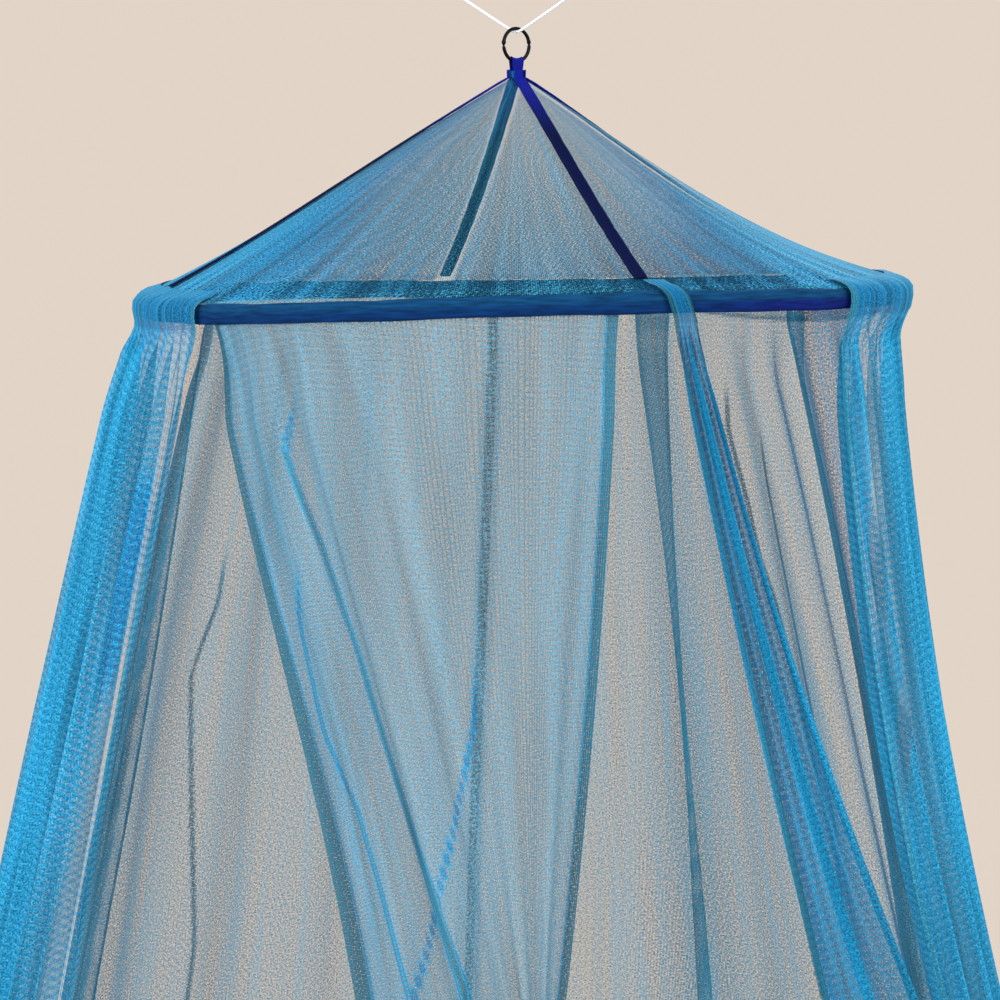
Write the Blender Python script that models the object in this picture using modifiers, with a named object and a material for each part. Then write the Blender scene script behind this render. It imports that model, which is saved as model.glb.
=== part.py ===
# Hoop bed canopy: net crown and wall panels on a round hoop, hung by a ring and a white cord.
# Metres, +Z up. The origin is the inside top of the hanging ring; the front of the canopy faces -Y.
# Azimuths are degrees round the vertical axis, 0 at the front and growing towards +X.
import math

import bmesh
import bpy
from mathutils import Vector

# Hoop and sleeve
HOOP_RADIUS = 0.300
HOOP_CENTRE_X = 0.005
HOOP_Z = -0.2076
HOOP_TILT_SIDE = 0.0195
HOOP_TILT_BACK = 0.0075
HOOP_TWIST = 0.0012
HOOP_BOW = 0.0021
HOOP_WIRE_RADIUS = 0.00275
HOOP_STEPS = 60
SLEEVE_SHEET = 0.001
SLEEVE_RADIUS = 0.00385
SLEEVE_DEPTH = 0.0107
SLEEVE_MOUTH = 0.00275

# Hanging ring, cord and webbing loop
RING_RADIUS = 0.0130
RING_WIRE_RADIUS = 0.0012
RING_TURN = 39.0
CORD_RADIUS = 0.0012
CORD_TURN = -22.0
CORD_REACH = 0.050
CORD_SLOPE = 0.635
CORD_BEND = 0.003
KNOT_RADIUS = 0.0034
LOOP_WIDTH = 0.0095
LOOP_FOOT_WIDTH = 0.0042
LOOP_SADDLE_RADIUS = 0.0022
LOOP_FOOT_SPREAD = 0.0019
LOOP_FOOT_Z = -0.0404

# Crown
NECK_RADIUS = 0.0052
NECK_TOP_Z = -0.0324
NECK_FOOT_Z = -0.0384
CROWN_EDGE_RISE = 0.0051
CROWN_COLUMNS = 8
CROWN_ROWS = 9
GORE_SAG = 0.003
TAPE_WIDTH = 0.010
TAPE_SHEET = 0.001
TAPE_TOP_Z = -0.0314
TAPE_END = 0.945

# Walls
NET_SHEET = 0.001
HEM_SHEET = 0.002
HEM_FIRST_ROW = 2
WALL_TOP_Z = HOOP_Z - SLEEVE_DEPTH
WALL_DROP = 2.185
PLEAT_FADE = 0.08
PLEAT_GROWTH = 0.5
SHOWN_DROP = 0.5
DRIFT_LENGTH = 0.12
GAP = 0.0003

# Seams of the crown: azimuth, sag half way down, and how far out the sag lies (1 is the middle)
SEAMS = [
    {"side": "left", "azimuth": -74.0, "sag": 0.0035, "skew": 2.2},
    {"side": "front", "azimuth": 17.0, "sag": 0.004, "skew": 1.6},
    {"side": "right", "azimuth": 106.0, "sag": 0.019, "skew": 1.3},
    {"side": "back", "azimuth": 193.0, "sag": 0.010, "skew": 1.0},
]

# Drops below the sleeve at which a wall has a row of points
INNER_DROPS = [-0.005, 0.004, 0.025, 0.06, 0.11, 0.18, 0.27, 0.38, 0.52, 0.75, 1.2, WALL_DROP]
OUTER_DROPS = [0.035, 0.07, 0.12, 0.19, 0.28, 0.40, 0.56, 0.85, 1.3, WALL_DROP]

# Outer walls pass over the sleeve: distance from the hoop's wire, outwards and up
HEADING = [
    {"out": 0.000, "up": 0.0085},
    {"out": 0.0088, "up": 0.001},
    {"out": 0.0075, "up": -0.015},
]
HEADING_START = -0.013
HEADING_RISE = 0.0020

# Fold tables: azimuth of each ridge or valley at the sleeve, 0.25 m down and 0.5 m down,
# and how far it stands out (+) or in (-) there, in metres
FOLD_COLUMNS = ("top", "mid", "low", "out")
FRONT_FOLDS = [
    (-49.5, -29.0, -16.9, 0.003),
    (-47.3, -27.0, -14.7, -0.004),
    (-43.0, -22.4, -11.2, 0.004),
    (-38.0, -19.5, -8.0, -0.005),
    (-33.0, -16.5, -5.0, 0.006),
    (-27.5, -13.0, -2.5, -0.004),
    (-21.0, -10.0, -1.0, 0.003),
    (-14.0, -7.0, -0.2, -0.003),
    (-7.0, -3.5, 0.4, 0.003),
    (0.0, 0.0, 1.0, -0.003),
    (6.0, 3.5, 1.7, 0.004),
    (10.5, 5.8, 2.4, -0.003),
    (12.7, 8.4, 3.6, 0.003),
]
FRONT_RIGHT_FOLDS = [
    (20.0, 27.0, 33.3, 0.005),
    (20.7, 28.5, 36.6, -0.007),
    (21.3, 30.1, 39.9, 0.008),
    (22.0, 31.7, 43.3, -0.008),
    (22.6, 33.2, 46.7, 0.007),
    (23.3, 34.8, 50.0, -0.002),
]
RIGHT_FOLDS = [
    (51.5, 51.0, 55.0, 0.003),
    (53.0, 53.0, 57.5, -0.007),
    (54.5, 55.5, 60.0, 0.008),
    (57.0, 58.0, 62.5, -0.008),
    (60.0, 61.0, 65.0, 0.008),
    (63.5, 64.0, 68.0, -0.006),
    (67.5, 67.5, 71.0, 0.006),
    (71.5, 71.5, 74.5, -0.007),
    (75.5, 75.5, 78.0, 0.006),
    (79.5, 79.5, 81.5, -0.006),
    (84.0, 84.0, 85.5, 0.005),
    (89.5, 89.0, 90.0, -0.006),
    (95.0, 94.0, 94.5, 0.006),
    (101.0, 99.0, 99.0, -0.006),
    (107.5, 104.5, 103.5, 0.006),
    (114.0, 110.0, 108.0, -0.006),
    (121.0, 115.5, 113.0, 0.006),
    (128.0, 121.0, 118.0, -0.005),
    (134.5, 127.0, 122.0, 0.002),
]
BACK_RIGHT_FOLDS = [
    (131.8, 119.5, 111.5, 0.003),
    (133.5, 121.6, 114.5, -0.004),
    (135.8, 125.0, 118.5, 0.004),
    (139.0, 129.8, 124.0, -0.003),
    (143.0, 135.5, 131.0, 0.004),
    (147.5, 142.0, 138.5, -0.003),
    (153.0, 149.0, 146.8, 0.003),
    (160.5, 156.8, 155.6, -0.001),
]
BACK_LEFT_FOLDS = [
    (153.9, 155.0, 154.2, 0.001),
    (160.0, 162.0, 164.0, -0.003),
    (168.0, 169.5, 171.0, 0.003),
    (176.0, 177.5, 178.5, -0.003),
    (182.5, 183.5, 184.5, 0.002),
    (184.5, 185.5, 186.5, -0.005),
    (187.0, 187.8, 188.8, 0.003),
    (195.0, 195.0, 195.5, -0.004),
    (203.0, 202.5, 202.5, 0.004),
    (211.0, 210.5, 210.0, -0.004),
    (219.0, 218.5, 218.0, 0.004),
    (226.0, 225.0, 225.0, -0.004),
    (232.5, 230.5, 230.5, 0.004),
    (239.5, 235.5, 235.5, -0.004),
    (243.0, 238.0, 238.0, 0.003),
]
LEFT_FOLDS = [
    (-52.3, -53.6, -54.3, 0.003),
    (-54.5, -55.7, -56.4, -0.006),
    (-57.2, -58.0, -58.7, 0.007),
    (-60.0, -60.5, -61.1, -0.008),
    (-62.8, -63.0, -63.6, 0.008),
    (-65.5, -65.4, -66.0, -0.009),
    (-69.0, -68.8, -69.2, 0.009),
    (-72.5, -72.4, -72.6, -0.009),
    (-76.0, -76.0, -76.0, 0.008),
    (-79.5, -79.5, -79.5, -0.008),
    (-83.0, -83.2, -83.2, 0.007),
    (-87.0, -87.2, -87.2, -0.006),
    (-91.0, -91.5, -91.5, 0.006),
    (-95.5, -96.5, -96.5, -0.005),
    (-100.0, -101.5, -101.5, 0.005),
    (-104.5, -106.5, -106.5, -0.005),
    (-109.0, -111.5, -111.5, 0.005),
    (-113.5, -116.5, -116.5, -0.005),
    (-117.5, -121.0, -121.0, 0.004),
    (-120.5, -124.5, -124.5, 0.001),
]

# Walls: name, fold table, whether it passes outside the sleeve, its place across the sleeve's
# mouth, how far it hangs out from the plain wall, and how far its first row is turned on the crown
WALL_COLUMNS = ("name", "folds", "outer", "mouth", "set_out", "start_turn")
WALLS = [
    ("wall_front", FRONT_FOLDS, False, 0.0010, -0.004, 0.0),
    ("wall_front_right", FRONT_RIGHT_FOLDS, True, 0.0, 0.0, -3.0),
    ("wall_right", RIGHT_FOLDS, True, 0.0, -0.002, 0.0),
    ("wall_back_right", BACK_RIGHT_FOLDS, False, -0.0010, -0.021, 0.0),
    ("wall_back_left", BACK_LEFT_FOLDS, False, 0.0010, -0.012, 0.0),
    ("wall_left", LEFT_FOLDS, True, 0.0, -0.003, 0.0),
]

NET_BLUE = (0.10, 0.42, 0.60)
NAVY = (0.012, 0.020, 0.085)
BLACK = (0.010, 0.010, 0.012)
WHITE = (0.80, 0.80, 0.78)
STEEL = (0.35, 0.35, 0.36)


def clear_scene():
    for obj in list(bpy.data.objects):
        bpy.data.objects.remove(obj, do_unlink=True)


def new_collection(name):
    collection = bpy.data.collections.new(name)
    bpy.context.scene.collection.children.link(collection)
    return collection


def material(name, colour, roughness, metallic=0.0):
    made = bpy.data.materials.new(name)
    made.use_nodes = True
    shader = made.node_tree.nodes["Principled BSDF"]
    shader.inputs["Base Color"].default_value = (*colour, 1.0)
    shader.inputs["Roughness"].default_value = roughness
    shader.inputs["Metallic"].default_value = metallic
    return made


def smoothstep(value):
    value = min(max(value, 0.0), 1.0)
    return value * value * (3.0 - 2.0 * value)


def hoop_lift(azimuth):
    """The light hoop is a little warped, and hangs lower at its left front."""
    turn = math.radians(azimuth)
    tilt = HOOP_RADIUS * (HOOP_TILT_SIDE * math.sin(turn) - HOOP_TILT_BACK * math.cos(turn))
    return tilt + HOOP_TWIST * math.sin(2.0 * turn) + HOOP_BOW * math.cos(3.0 * turn)


def round_point(azimuth, radius, z):
    """A point at this azimuth and radius round the hoop's axis, on the tilted hoop."""
    turn = math.radians(azimuth)
    x = radius * math.sin(turn)
    return Vector((HOOP_CENTRE_X + x, -radius * math.cos(turn), z + hoop_lift(azimuth)))


def sheet(collection, name, grid, paint, thickness, closed=False, hem=None):
    """A grid of points made one closed cloth: rows run down, columns run across."""
    mesh = bpy.data.meshes.new(name)
    build = bmesh.new()
    rows = [[build.verts.new(point) for point in row] for row in grid]
    wide = len(rows[0])
    for above, below in zip(rows, rows[1:]):
        for column in range(wide if closed else wide - 1):
            beside = (column + 1) % wide
            build.faces.new((above[column], below[column], below[beside], above[beside]))
    build.to_mesh(mesh)
    build.free()
    obj = bpy.data.objects.new(name, mesh)
    collection.objects.link(obj)
    mesh.materials.append(paint)
    mesh.shade_smooth()
    solid = obj.modifiers.new("thickness", "SOLIDIFY")
    solid.thickness = thickness
    solid.offset = 0.0
    if hem:
        group = obj.vertex_groups.new(name="hem")
        last = len(grid) - 1
        rows_hemmed = range(HEM_FIRST_ROW, len(grid))
        edge = [row * wide + column for row in rows_hemmed for column in (0, wide - 1)]
        edge += [last * wide + column for column in range(wide)]
        group.add(sorted(set(edge)), 1.0, "REPLACE")
        solid.vertex_group = "hem"
        solid.thickness = hem
        solid.thickness_vertex_group = thickness / hem
    return obj


# Hanging ring and cord
def ring(collection, paint):
    centre_z = RING_WIRE_RADIUS - RING_RADIUS
    bpy.ops.mesh.primitive_torus_add(
        major_radius=RING_RADIUS,
        minor_radius=RING_WIRE_RADIUS,
        major_segments=40,
        minor_segments=8,
        location=(0.0, 0.0, centre_z),
        rotation=(math.pi / 2.0, 0.0, math.radians(RING_TURN)),
    )
    obj = bpy.context.object
    obj.name = "hanging_ring"
    obj.data.materials.append(paint)
    obj.data.shade_smooth()
    move_to(obj, collection)
    return obj


def move_to(obj, collection):
    for old in list(obj.users_collection):
        old.objects.unlink(obj)
    collection.objects.link(obj)


def cord_point(reach):
    """The cord's middle at this distance from the ring, measured level; the right leg comes forward."""
    turn = math.radians(CORD_TURN)
    rise = CORD_SLOPE * (math.hypot(reach, CORD_BEND) - CORD_BEND)
    seat = -(CORD_RADIUS + GAP)
    return Vector((reach * math.cos(turn), reach * math.sin(turn), seat + rise))


def cord(collection, paint):
    near = [-0.0042, -0.0026, -0.0012, 0.0, 0.0012, 0.0026, 0.0042]
    leg = [near[-1] + (CORD_REACH - near[-1]) * step / 10.0 for step in range(1, 11)]
    reaches = [-reach for reach in reversed(leg)] + near + leg
    curve = bpy.data.curves.new("hanging_cord", "CURVE")
    curve.dimensions = "3D"
    curve.bevel_depth = CORD_RADIUS
    curve.bevel_resolution = 2
    curve.use_fill_caps = True
    line = curve.splines.new("POLY")
    line.points.add(len(reaches) - 1)
    for point, reach in zip(line.points, reaches):
        point.co = (*cord_point(reach), 1.0)
    obj = bpy.data.objects.new("hanging_cord", curve)
    curve.materials.append(paint)
    collection.objects.link(obj)
    for side, name in ((-1.0, "cord_knot_left"), (1.0, "cord_knot_right")):
        knot(collection, name, side, paint)


def knot(collection, name, side, paint):
    """A stopper knot beyond each end of the cord, square to it."""
    end = cord_point(side * CORD_REACH)
    along = (end - cord_point(side * (CORD_REACH - 0.004))).normalized()
    mesh = bpy.data.meshes.new(name)
    build = bmesh.new()
    bmesh.ops.create_uvsphere(build, u_segments=10, v_segments=7, radius=KNOT_RADIUS)
    build.to_mesh(mesh)
    build.free()
    mesh.materials.append(paint)
    mesh.shade_smooth()
    obj = bpy.data.objects.new(name, mesh)
    obj.rotation_euler = along.to_track_quat("Z", "Y").to_euler()
    obj.location = end + along * (KNOT_RADIUS + GAP)
    collection.objects.link(obj)


def apex_loop(collection, paint):
    """Webbing laid over the ring's lowest stretch, both ends going down into the crown's neck."""
    turn = math.radians(RING_TURN)
    along = Vector((math.cos(turn), math.sin(turn), 0.0))
    across = Vector((-math.sin(turn), math.cos(turn), 0.0))
    centre_z = RING_WIRE_RADIUS - RING_RADIUS
    leg_steps, saddle_steps, wide = 4, 8, 4

    def strip_point(side, share, place):
        width = LOOP_WIDTH + (LOOP_FOOT_WIDTH - LOOP_WIDTH) * share
        spread = LOOP_SADDLE_RADIUS + (LOOP_FOOT_SPREAD - LOOP_SADDLE_RADIUS) * share
        u = place * width / 2.0
        wire_z = centre_z - math.sqrt(RING_RADIUS**2 - u**2)
        z = wire_z + (LOOP_FOOT_Z - wire_z) * share
        return along * u + across * (side * spread) + Vector((0.0, 0.0, z))

    def saddle_point(angle, place):
        u = place * LOOP_WIDTH / 2.0
        wire_z = centre_z - math.sqrt(RING_RADIUS**2 - u**2)
        rise = LOOP_SADDLE_RADIUS * math.sin(angle)
        out = across * (LOOP_SADDLE_RADIUS * math.cos(angle))
        return along * u + out + Vector((0.0, 0.0, wire_z + rise))

    places = [-1.0 + 2.0 * step / wide for step in range(wide + 1)]
    grid = [[strip_point(1.0, 1.0 - s / leg_steps, p) for p in places] for s in range(leg_steps)]
    grid += [
        [saddle_point(math.pi * s / saddle_steps, p) for p in places]
        for s in range(saddle_steps + 1)
    ]
    grid += [[strip_point(-1.0, s / leg_steps, p) for p in places] for s in range(1, leg_steps + 1)]
    return sheet(collection, "apex_loop", grid, paint, TAPE_SHEET)


# Crown
def seam_blend(azimuth):
    """The seams on either side of this azimuth and the share of the way between them."""
    for index, first in enumerate(SEAMS):
        second = SEAMS[(index + 1) % len(SEAMS)]
        span = (second["azimuth"] - first["azimuth"]) % 360.0
        past = (azimuth - first["azimuth"]) % 360.0
        if past <= span:
            return first, second, past / span
    return SEAMS[0], SEAMS[0], 0.0


def crown_sag(azimuth, share):
    first, second, between = seam_blend(azimuth)
    drop = 0.0
    for seam, weight in ((first, 1.0 - between), (second, between)):
        drop += weight * seam["sag"] * math.sin(math.pi * share ** seam["skew"])
    return drop + GORE_SAG * math.sin(math.pi * between) ** 2 * math.sin(math.pi * share)


def crown_point(azimuth, share):
    """The crown's surface from the foot of the neck (0) to the sleeve (1)."""
    turn = math.radians(azimuth)
    radius = NECK_RADIUS + (HOOP_RADIUS - NECK_RADIUS) * share
    foot_z = HOOP_Z + CROWN_EDGE_RISE
    z = NECK_FOOT_Z + (foot_z - NECK_FOOT_Z) * share - crown_sag(azimuth, share)
    x = share * HOOP_CENTRE_X + radius * math.sin(turn)
    return Vector((x, -radius * math.cos(turn), z + share * hoop_lift(azimuth)))


def neck_point(azimuth, z):
    turn = math.radians(azimuth)
    return Vector((NECK_RADIUS * math.sin(turn), -NECK_RADIUS * math.cos(turn), z))


def crown_shares():
    """Rows of the crown, closer together near the neck; the tapes end on the last but one."""
    last = CROWN_ROWS - 1
    return [TAPE_END * (step / last) ** 1.15 for step in range(CROWN_ROWS)] + [1.0]


def gores(collection, paint):
    for index, first in enumerate(SEAMS):
        second = SEAMS[(index + 1) % len(SEAMS)]
        start = first["azimuth"]
        span = (second["azimuth"] - start) % 360.0

        def turned(radius, column):
            edge = math.degrees(GAP / radius)
            return start + edge + (span - 2.0 * edge) * column / CROWN_COLUMNS

        columns = range(CROWN_COLUMNS + 1)
        grid = [[neck_point(turned(NECK_RADIUS, c), NECK_TOP_Z) for c in columns]]
        for share in crown_shares():
            radius = NECK_RADIUS + (HOOP_RADIUS - NECK_RADIUS) * share
            grid.append([crown_point(turned(radius, c), share) for c in columns])
        name = f"crown_{first['side']}_{second['side']}"
        sheet(collection, name, grid, paint, NET_SHEET)


def tapes(collection, paint):
    """A tape lies flat across each seam, just clear of the net."""
    lift = NET_SHEET / 2.0 + GAP + TAPE_SHEET / 2.0 + 0.0001
    for seam in SEAMS:
        azimuth = seam["azimuth"]
        turn = math.radians(azimuth)
        across = Vector((math.cos(turn), math.sin(turn), 0.0))
        out = Vector((math.sin(turn), -math.cos(turn), 0.0))
        centres = [neck_point(azimuth, TAPE_TOP_Z) + out * lift]
        for share in crown_shares()[:-1]:
            ahead = crown_point(azimuth, share + 0.01)
            behind = crown_point(azimuth, max(share - 0.01, 0.0))
            slope = (ahead - behind).normalized()
            normal = across.cross(slope).normalized()
            if normal.dot(out) < 0.0:
                normal = -normal
            if share == 0.0:
                normal = (normal + out).normalized()
            centres.append(crown_point(azimuth, share) + normal * lift)
        half = across * (TAPE_WIDTH / 2.0)
        grid = [[centre - half, centre, centre + half] for centre in centres]
        sheet(collection, f"tape_{seam['side']}", grid, paint, TAPE_SHEET)


# Hoop and sleeve
def hoop(collection, paint):
    profile = []
    for step in range(6):
        angle = 2.0 * math.pi * step / 6.0
        profile.append((HOOP_WIRE_RADIUS * math.cos(angle), HOOP_WIRE_RADIUS * math.sin(angle)))
    mesh = bpy.data.meshes.new("hoop")
    build = bmesh.new()
    loops = []
    for step in range(HOOP_STEPS):
        azimuth = 360.0 * step / HOOP_STEPS
        loops.append(
            [build.verts.new(round_point(azimuth, HOOP_RADIUS + out, HOOP_Z + up)) for out, up in profile]
        )
    for here, there in zip(loops, loops[1:] + loops[:1]):
        for corner in range(6):
            beside = (corner + 1) % 6
            build.faces.new((here[corner], there[corner], there[beside], here[beside]))
    bmesh.ops.recalc_face_normals(build, faces=build.faces)
    build.to_mesh(mesh)
    build.free()
    mesh.materials.append(paint)
    mesh.shade_smooth()
    obj = bpy.data.objects.new("hoop", mesh)
    collection.objects.link(obj)
    return obj


def sleeve(collection, paint):
    """Webbing folded over the hoop, open underneath, where the inner walls are sewn in."""
    profile = [(-SLEEVE_MOUTH, -SLEEVE_DEPTH)]
    for step in range(5):
        angle = math.pi * (1.0 - step / 4.0)
        profile.append((SLEEVE_RADIUS * math.cos(angle), SLEEVE_RADIUS * math.sin(angle)))
    profile.append((SLEEVE_MOUTH, -SLEEVE_DEPTH))
    azimuths = [360.0 * step / HOOP_STEPS for step in range(HOOP_STEPS)]
    grid = [
        [round_point(azimuth, HOOP_RADIUS + out, HOOP_Z + up) for azimuth in azimuths]
        for out, up in profile
    ]
    return sheet(collection, "hoop_sleeve", grid, paint, SLEEVE_SHEET, closed=True)


# Walls
def wall_radius(azimuth, drop):
    """The plain wall's radius: it flares more at the left than at the right."""
    turn = math.radians(azimuth)
    left = 0.311 + 0.235 * drop - 0.010 * drop**2
    right = 0.298 + 0.07 * max(0.0, drop - 0.08) + 0.15 * min(drop, 0.6) ** 2
    right += 0.10 * max(0.0, drop - 0.6)
    front = 0.305 + 0.17 * drop
    side = left if math.sin(turn) < 0.0 else right
    weight = math.sin(turn) ** 2
    return side * weight + front * (1.0 - weight)


def fold_azimuth(fold, drop):
    """A smooth line through the fold's three azimuths, which dies away below them."""
    t = min(max(drop, 0.0), SHOWN_DROP) / SHOWN_DROP
    top, mid, low = fold["top"], fold["mid"], fold["low"]
    bend = 2.0 * (top - 2.0 * mid + low)
    azimuth = top + (low - top - bend) * t + bend * t**2
    if drop > SHOWN_DROP:
        slope = (low - top - bend) + 2.0 * bend
        past = (drop - SHOWN_DROP) / SHOWN_DROP
        length = DRIFT_LENGTH / SHOWN_DROP
        azimuth += slope * length * (1.0 - math.exp(-past / length))
    return azimuth


def wall_columns(folds, drop):
    """Each fold line and the line half way to the next: azimuth and how far it stands out."""
    rows = [dict(zip(FOLD_COLUMNS, row)) for row in folds]
    columns = []
    for fold, following in zip(rows, rows[1:]):
        here = fold_azimuth(fold, drop)
        there = fold_azimuth(following, drop)
        columns.append((here, fold["out"]))
        columns.append(((here + there) / 2.0, (fold["out"] + following["out"]) / 2.0))
    columns.append((fold_azimuth(rows[-1], drop), rows[-1]["out"]))
    return columns


def hanging_row(wall, drop, z):
    grow = smoothstep(drop / PLEAT_FADE) * (1.0 + PLEAT_GROWTH * drop)
    settle = smoothstep(drop / (PLEAT_FADE if not wall["outer"] else 0.03))
    row = []
    for azimuth, out in wall_columns(wall["folds"], drop):
        hung = wall_radius(azimuth, max(drop, 0.0)) + wall["set_out"]
        radius = (HOOP_RADIUS + wall["mouth"]) * (1.0 - settle) + hung * settle
        row.append(round_point(azimuth, radius + out * grow, z))
    return row


def heading_rows(wall):
    """The part of an outer wall that starts on the crown and passes over the sleeve."""
    share = 1.0 + HEADING_START / (HOOP_RADIUS - NECK_RADIUS)
    first = []
    for azimuth, _ in wall_columns(wall["folds"], 0.0):
        start = crown_point(azimuth + wall["start_turn"], share)
        first.append(start + Vector((0.0, 0.0, HEADING_RISE)))
    rows = [first]
    for step, place in enumerate(HEADING, start=1):
        drop = max(0.0, -place["up"] - SLEEVE_DEPTH)
        turned = wall["start_turn"] * (1.0 - step / len(HEADING))
        rows.append(
            [
                round_point(azimuth + turned, HOOP_RADIUS + place["out"], HOOP_Z + place["up"])
                for azimuth, _ in wall_columns(wall["folds"], drop)
            ]
        )
    return rows


def walls(collection, paint):
    for wall in (dict(zip(WALL_COLUMNS, row)) for row in WALLS):
        grid = heading_rows(wall) if wall["outer"] else []
        for drop in OUTER_DROPS if wall["outer"] else INNER_DROPS:
            grid.append(hanging_row(wall, drop, WALL_TOP_Z - drop))
        sheet(collection, wall["name"], grid, paint, NET_SHEET, hem=HEM_SHEET)


def main():
    clear_scene()
    collection = new_collection("hoop_bed_canopy")
    net = material("blue net", NET_BLUE, 0.7)
    navy = material("navy webbing", NAVY, 0.75)
    black = material("black ring", BLACK, 0.25)
    white = material("white cord", WHITE, 0.8)
    steel = material("hoop wire", STEEL, 0.4, 1.0)
    ring(collection, black)
    cord(collection, white)
    apex_loop(collection, navy)
    gores(collection, net)
    tapes(collection, navy)
    hoop(collection, steel)
    sleeve(collection, navy)
    walls(collection, net)


main()
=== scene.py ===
import math

import bmesh
import bpy
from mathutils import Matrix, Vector


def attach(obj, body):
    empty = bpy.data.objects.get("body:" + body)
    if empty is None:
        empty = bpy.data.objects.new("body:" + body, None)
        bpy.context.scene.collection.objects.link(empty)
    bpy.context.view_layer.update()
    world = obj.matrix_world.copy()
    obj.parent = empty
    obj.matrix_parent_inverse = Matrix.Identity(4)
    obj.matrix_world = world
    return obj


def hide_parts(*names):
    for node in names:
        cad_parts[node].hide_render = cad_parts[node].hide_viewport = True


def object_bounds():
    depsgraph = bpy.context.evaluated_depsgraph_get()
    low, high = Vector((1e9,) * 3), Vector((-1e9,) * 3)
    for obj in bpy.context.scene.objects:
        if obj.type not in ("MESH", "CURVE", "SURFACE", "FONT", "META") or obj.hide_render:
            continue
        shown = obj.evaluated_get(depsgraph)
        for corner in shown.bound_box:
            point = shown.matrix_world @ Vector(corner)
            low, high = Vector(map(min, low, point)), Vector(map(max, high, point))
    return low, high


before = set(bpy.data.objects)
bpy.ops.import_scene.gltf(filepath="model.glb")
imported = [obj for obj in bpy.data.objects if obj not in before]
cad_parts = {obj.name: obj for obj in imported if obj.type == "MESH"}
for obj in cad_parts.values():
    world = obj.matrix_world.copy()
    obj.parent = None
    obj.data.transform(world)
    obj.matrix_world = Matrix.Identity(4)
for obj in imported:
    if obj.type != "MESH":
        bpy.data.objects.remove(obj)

solid_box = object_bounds()

# Camera: the view stands a little above the hoop and looks down at the walls
CAMERA_PLACE = (-0.013, -2.6, -0.1522)
CAMERA_AIM = (-0.013, 0.0, -0.3742)
CAMERA_LENS = 117.0
FLOOR_GAP = 0.006
FLOOR_RADIUS = 5.0

# Hoop and sleeve; sizes are in metres, and azimuths are degrees from the front towards +X
GAP = 0.0003
HOOP_RADIUS = 0.300
HOOP_CENTRE_X = 0.005
HOOP_Z = -0.2076
HOOP_TILT_SIDE = 0.0195
HOOP_TILT_BACK = 0.0075
HOOP_TWIST = 0.0012
HOOP_BOW = 0.0021
SLEEVE_RADIUS = 0.00385
SLEEVE_DEPTH = 0.0107
SLEEVE_MOUTH = 0.00275
WEBBING_THICKNESS = 0.0009

# Ring, cord and knots; a ring mark has its place and width in degrees, its power and its amount
RING_RADIUS = 0.0130
RING_WIRE_RADIUS = 0.0012
RING_TURN = 39.0
RING_SWELL = 1.20
RING_MARKS = [(172.0, 5.0, 4, 0.32), (184.0, 3.5, 2, -0.62), (12.0, 6.0, 4, 0.18), (3.0, 2.6, 2, -0.50)]
CORD_RADIUS = 0.0012
CORD_LAY = 0.0078
CORD_STEPS = 220
CORD_TURN = -22.0
CORD_REACH = 0.050
CORD_SLOPE = 0.635
CORD_BEND = 0.003
KNOT_RADIUS = 0.0034
KNOT_LOOP = 0.0005175
KNOT_STRAND = 0.00106

# Loop, neck, crown and tapes
LOOP_WIDTH = 0.0115
LOOP_FOOT_WIDTH = 0.0080
LOOP_THICKNESS = 0.001
LOOP_SADDLE_RADIUS = 0.0022
LOOP_FOOT_SPREAD = 0.0019
LOOP_FOOT_Z = -0.0404
NECK_RADIUS = 0.0052
NECK_TOP_Z = -0.0324
NECK_FOOT_Z = -0.0384
CROWN_EDGE_RISE = 0.0051
CROWN_FOOT = 0.0042
GORE_SAG = 0.003
TAPE_WIDTH = 0.010
TAPE_TOP_Z = -0.0314
TAPE_END = 0.945
TAPE_LIFT = 0.0014
TAPE_TOP_SHARE = 0.60
TAPE_TAPER = 0.016
BACK_TAPE_END = 0.985
STITCH_SHARE = 0.78
STITCH_LIFT = 0.00055
STITCH_PITCH = 0.0030
STITCH_LENGTH = 0.0019
STITCH_RADIUS = 0.00022

# Walls, and how the outer ones pass over the sleeve from the crown's edge
WALL_TOP_Z = HOOP_Z - SLEEVE_DEPTH
WALL_DROP = 2.185
PLEAT_FADE = 0.08
FINE_FADE = 0.03
PLEAT_GROWTH = 0.5
SHOWN_DROP = 0.5
DRIFT_LENGTH = 0.12
INNER_TOP_DROP = -0.005
OUTER_TOP_DROP = 0.008
HEADING_COLUMNS = ("out", "up", "turn")
HEADING = [
    (-0.006, 0.0102, 0.86),
    (0.000, 0.0085, 0.67),
    (0.0055, 0.0055, 0.50),
    (0.0088, 0.001, 0.33),
    (0.0092, -0.006, 0.18),
    (0.0075, -0.015, 0.0),
]
HEADING = [dict(zip(HEADING_COLUMNS, row)) for row in HEADING]
HEADING_START = -0.013
HEADING_RISE = 0.0020
HEM_GATHER = 0.75
HEADING_COVER = 0.68
HEADING_TONE = 0.57
TONE_FALL_START = 0.34

SEAMS = [
    {"side": "left", "azimuth": -74.0, "sag": 0.0035, "skew": 2.2},
    {"side": "front", "azimuth": 17.0, "sag": 0.004, "skew": 1.6},
    {"side": "right", "azimuth": 106.0, "sag": 0.019, "skew": 1.3},
    {"side": "back", "azimuth": 193.0, "sag": 0.010, "skew": 1.0},
]

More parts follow.
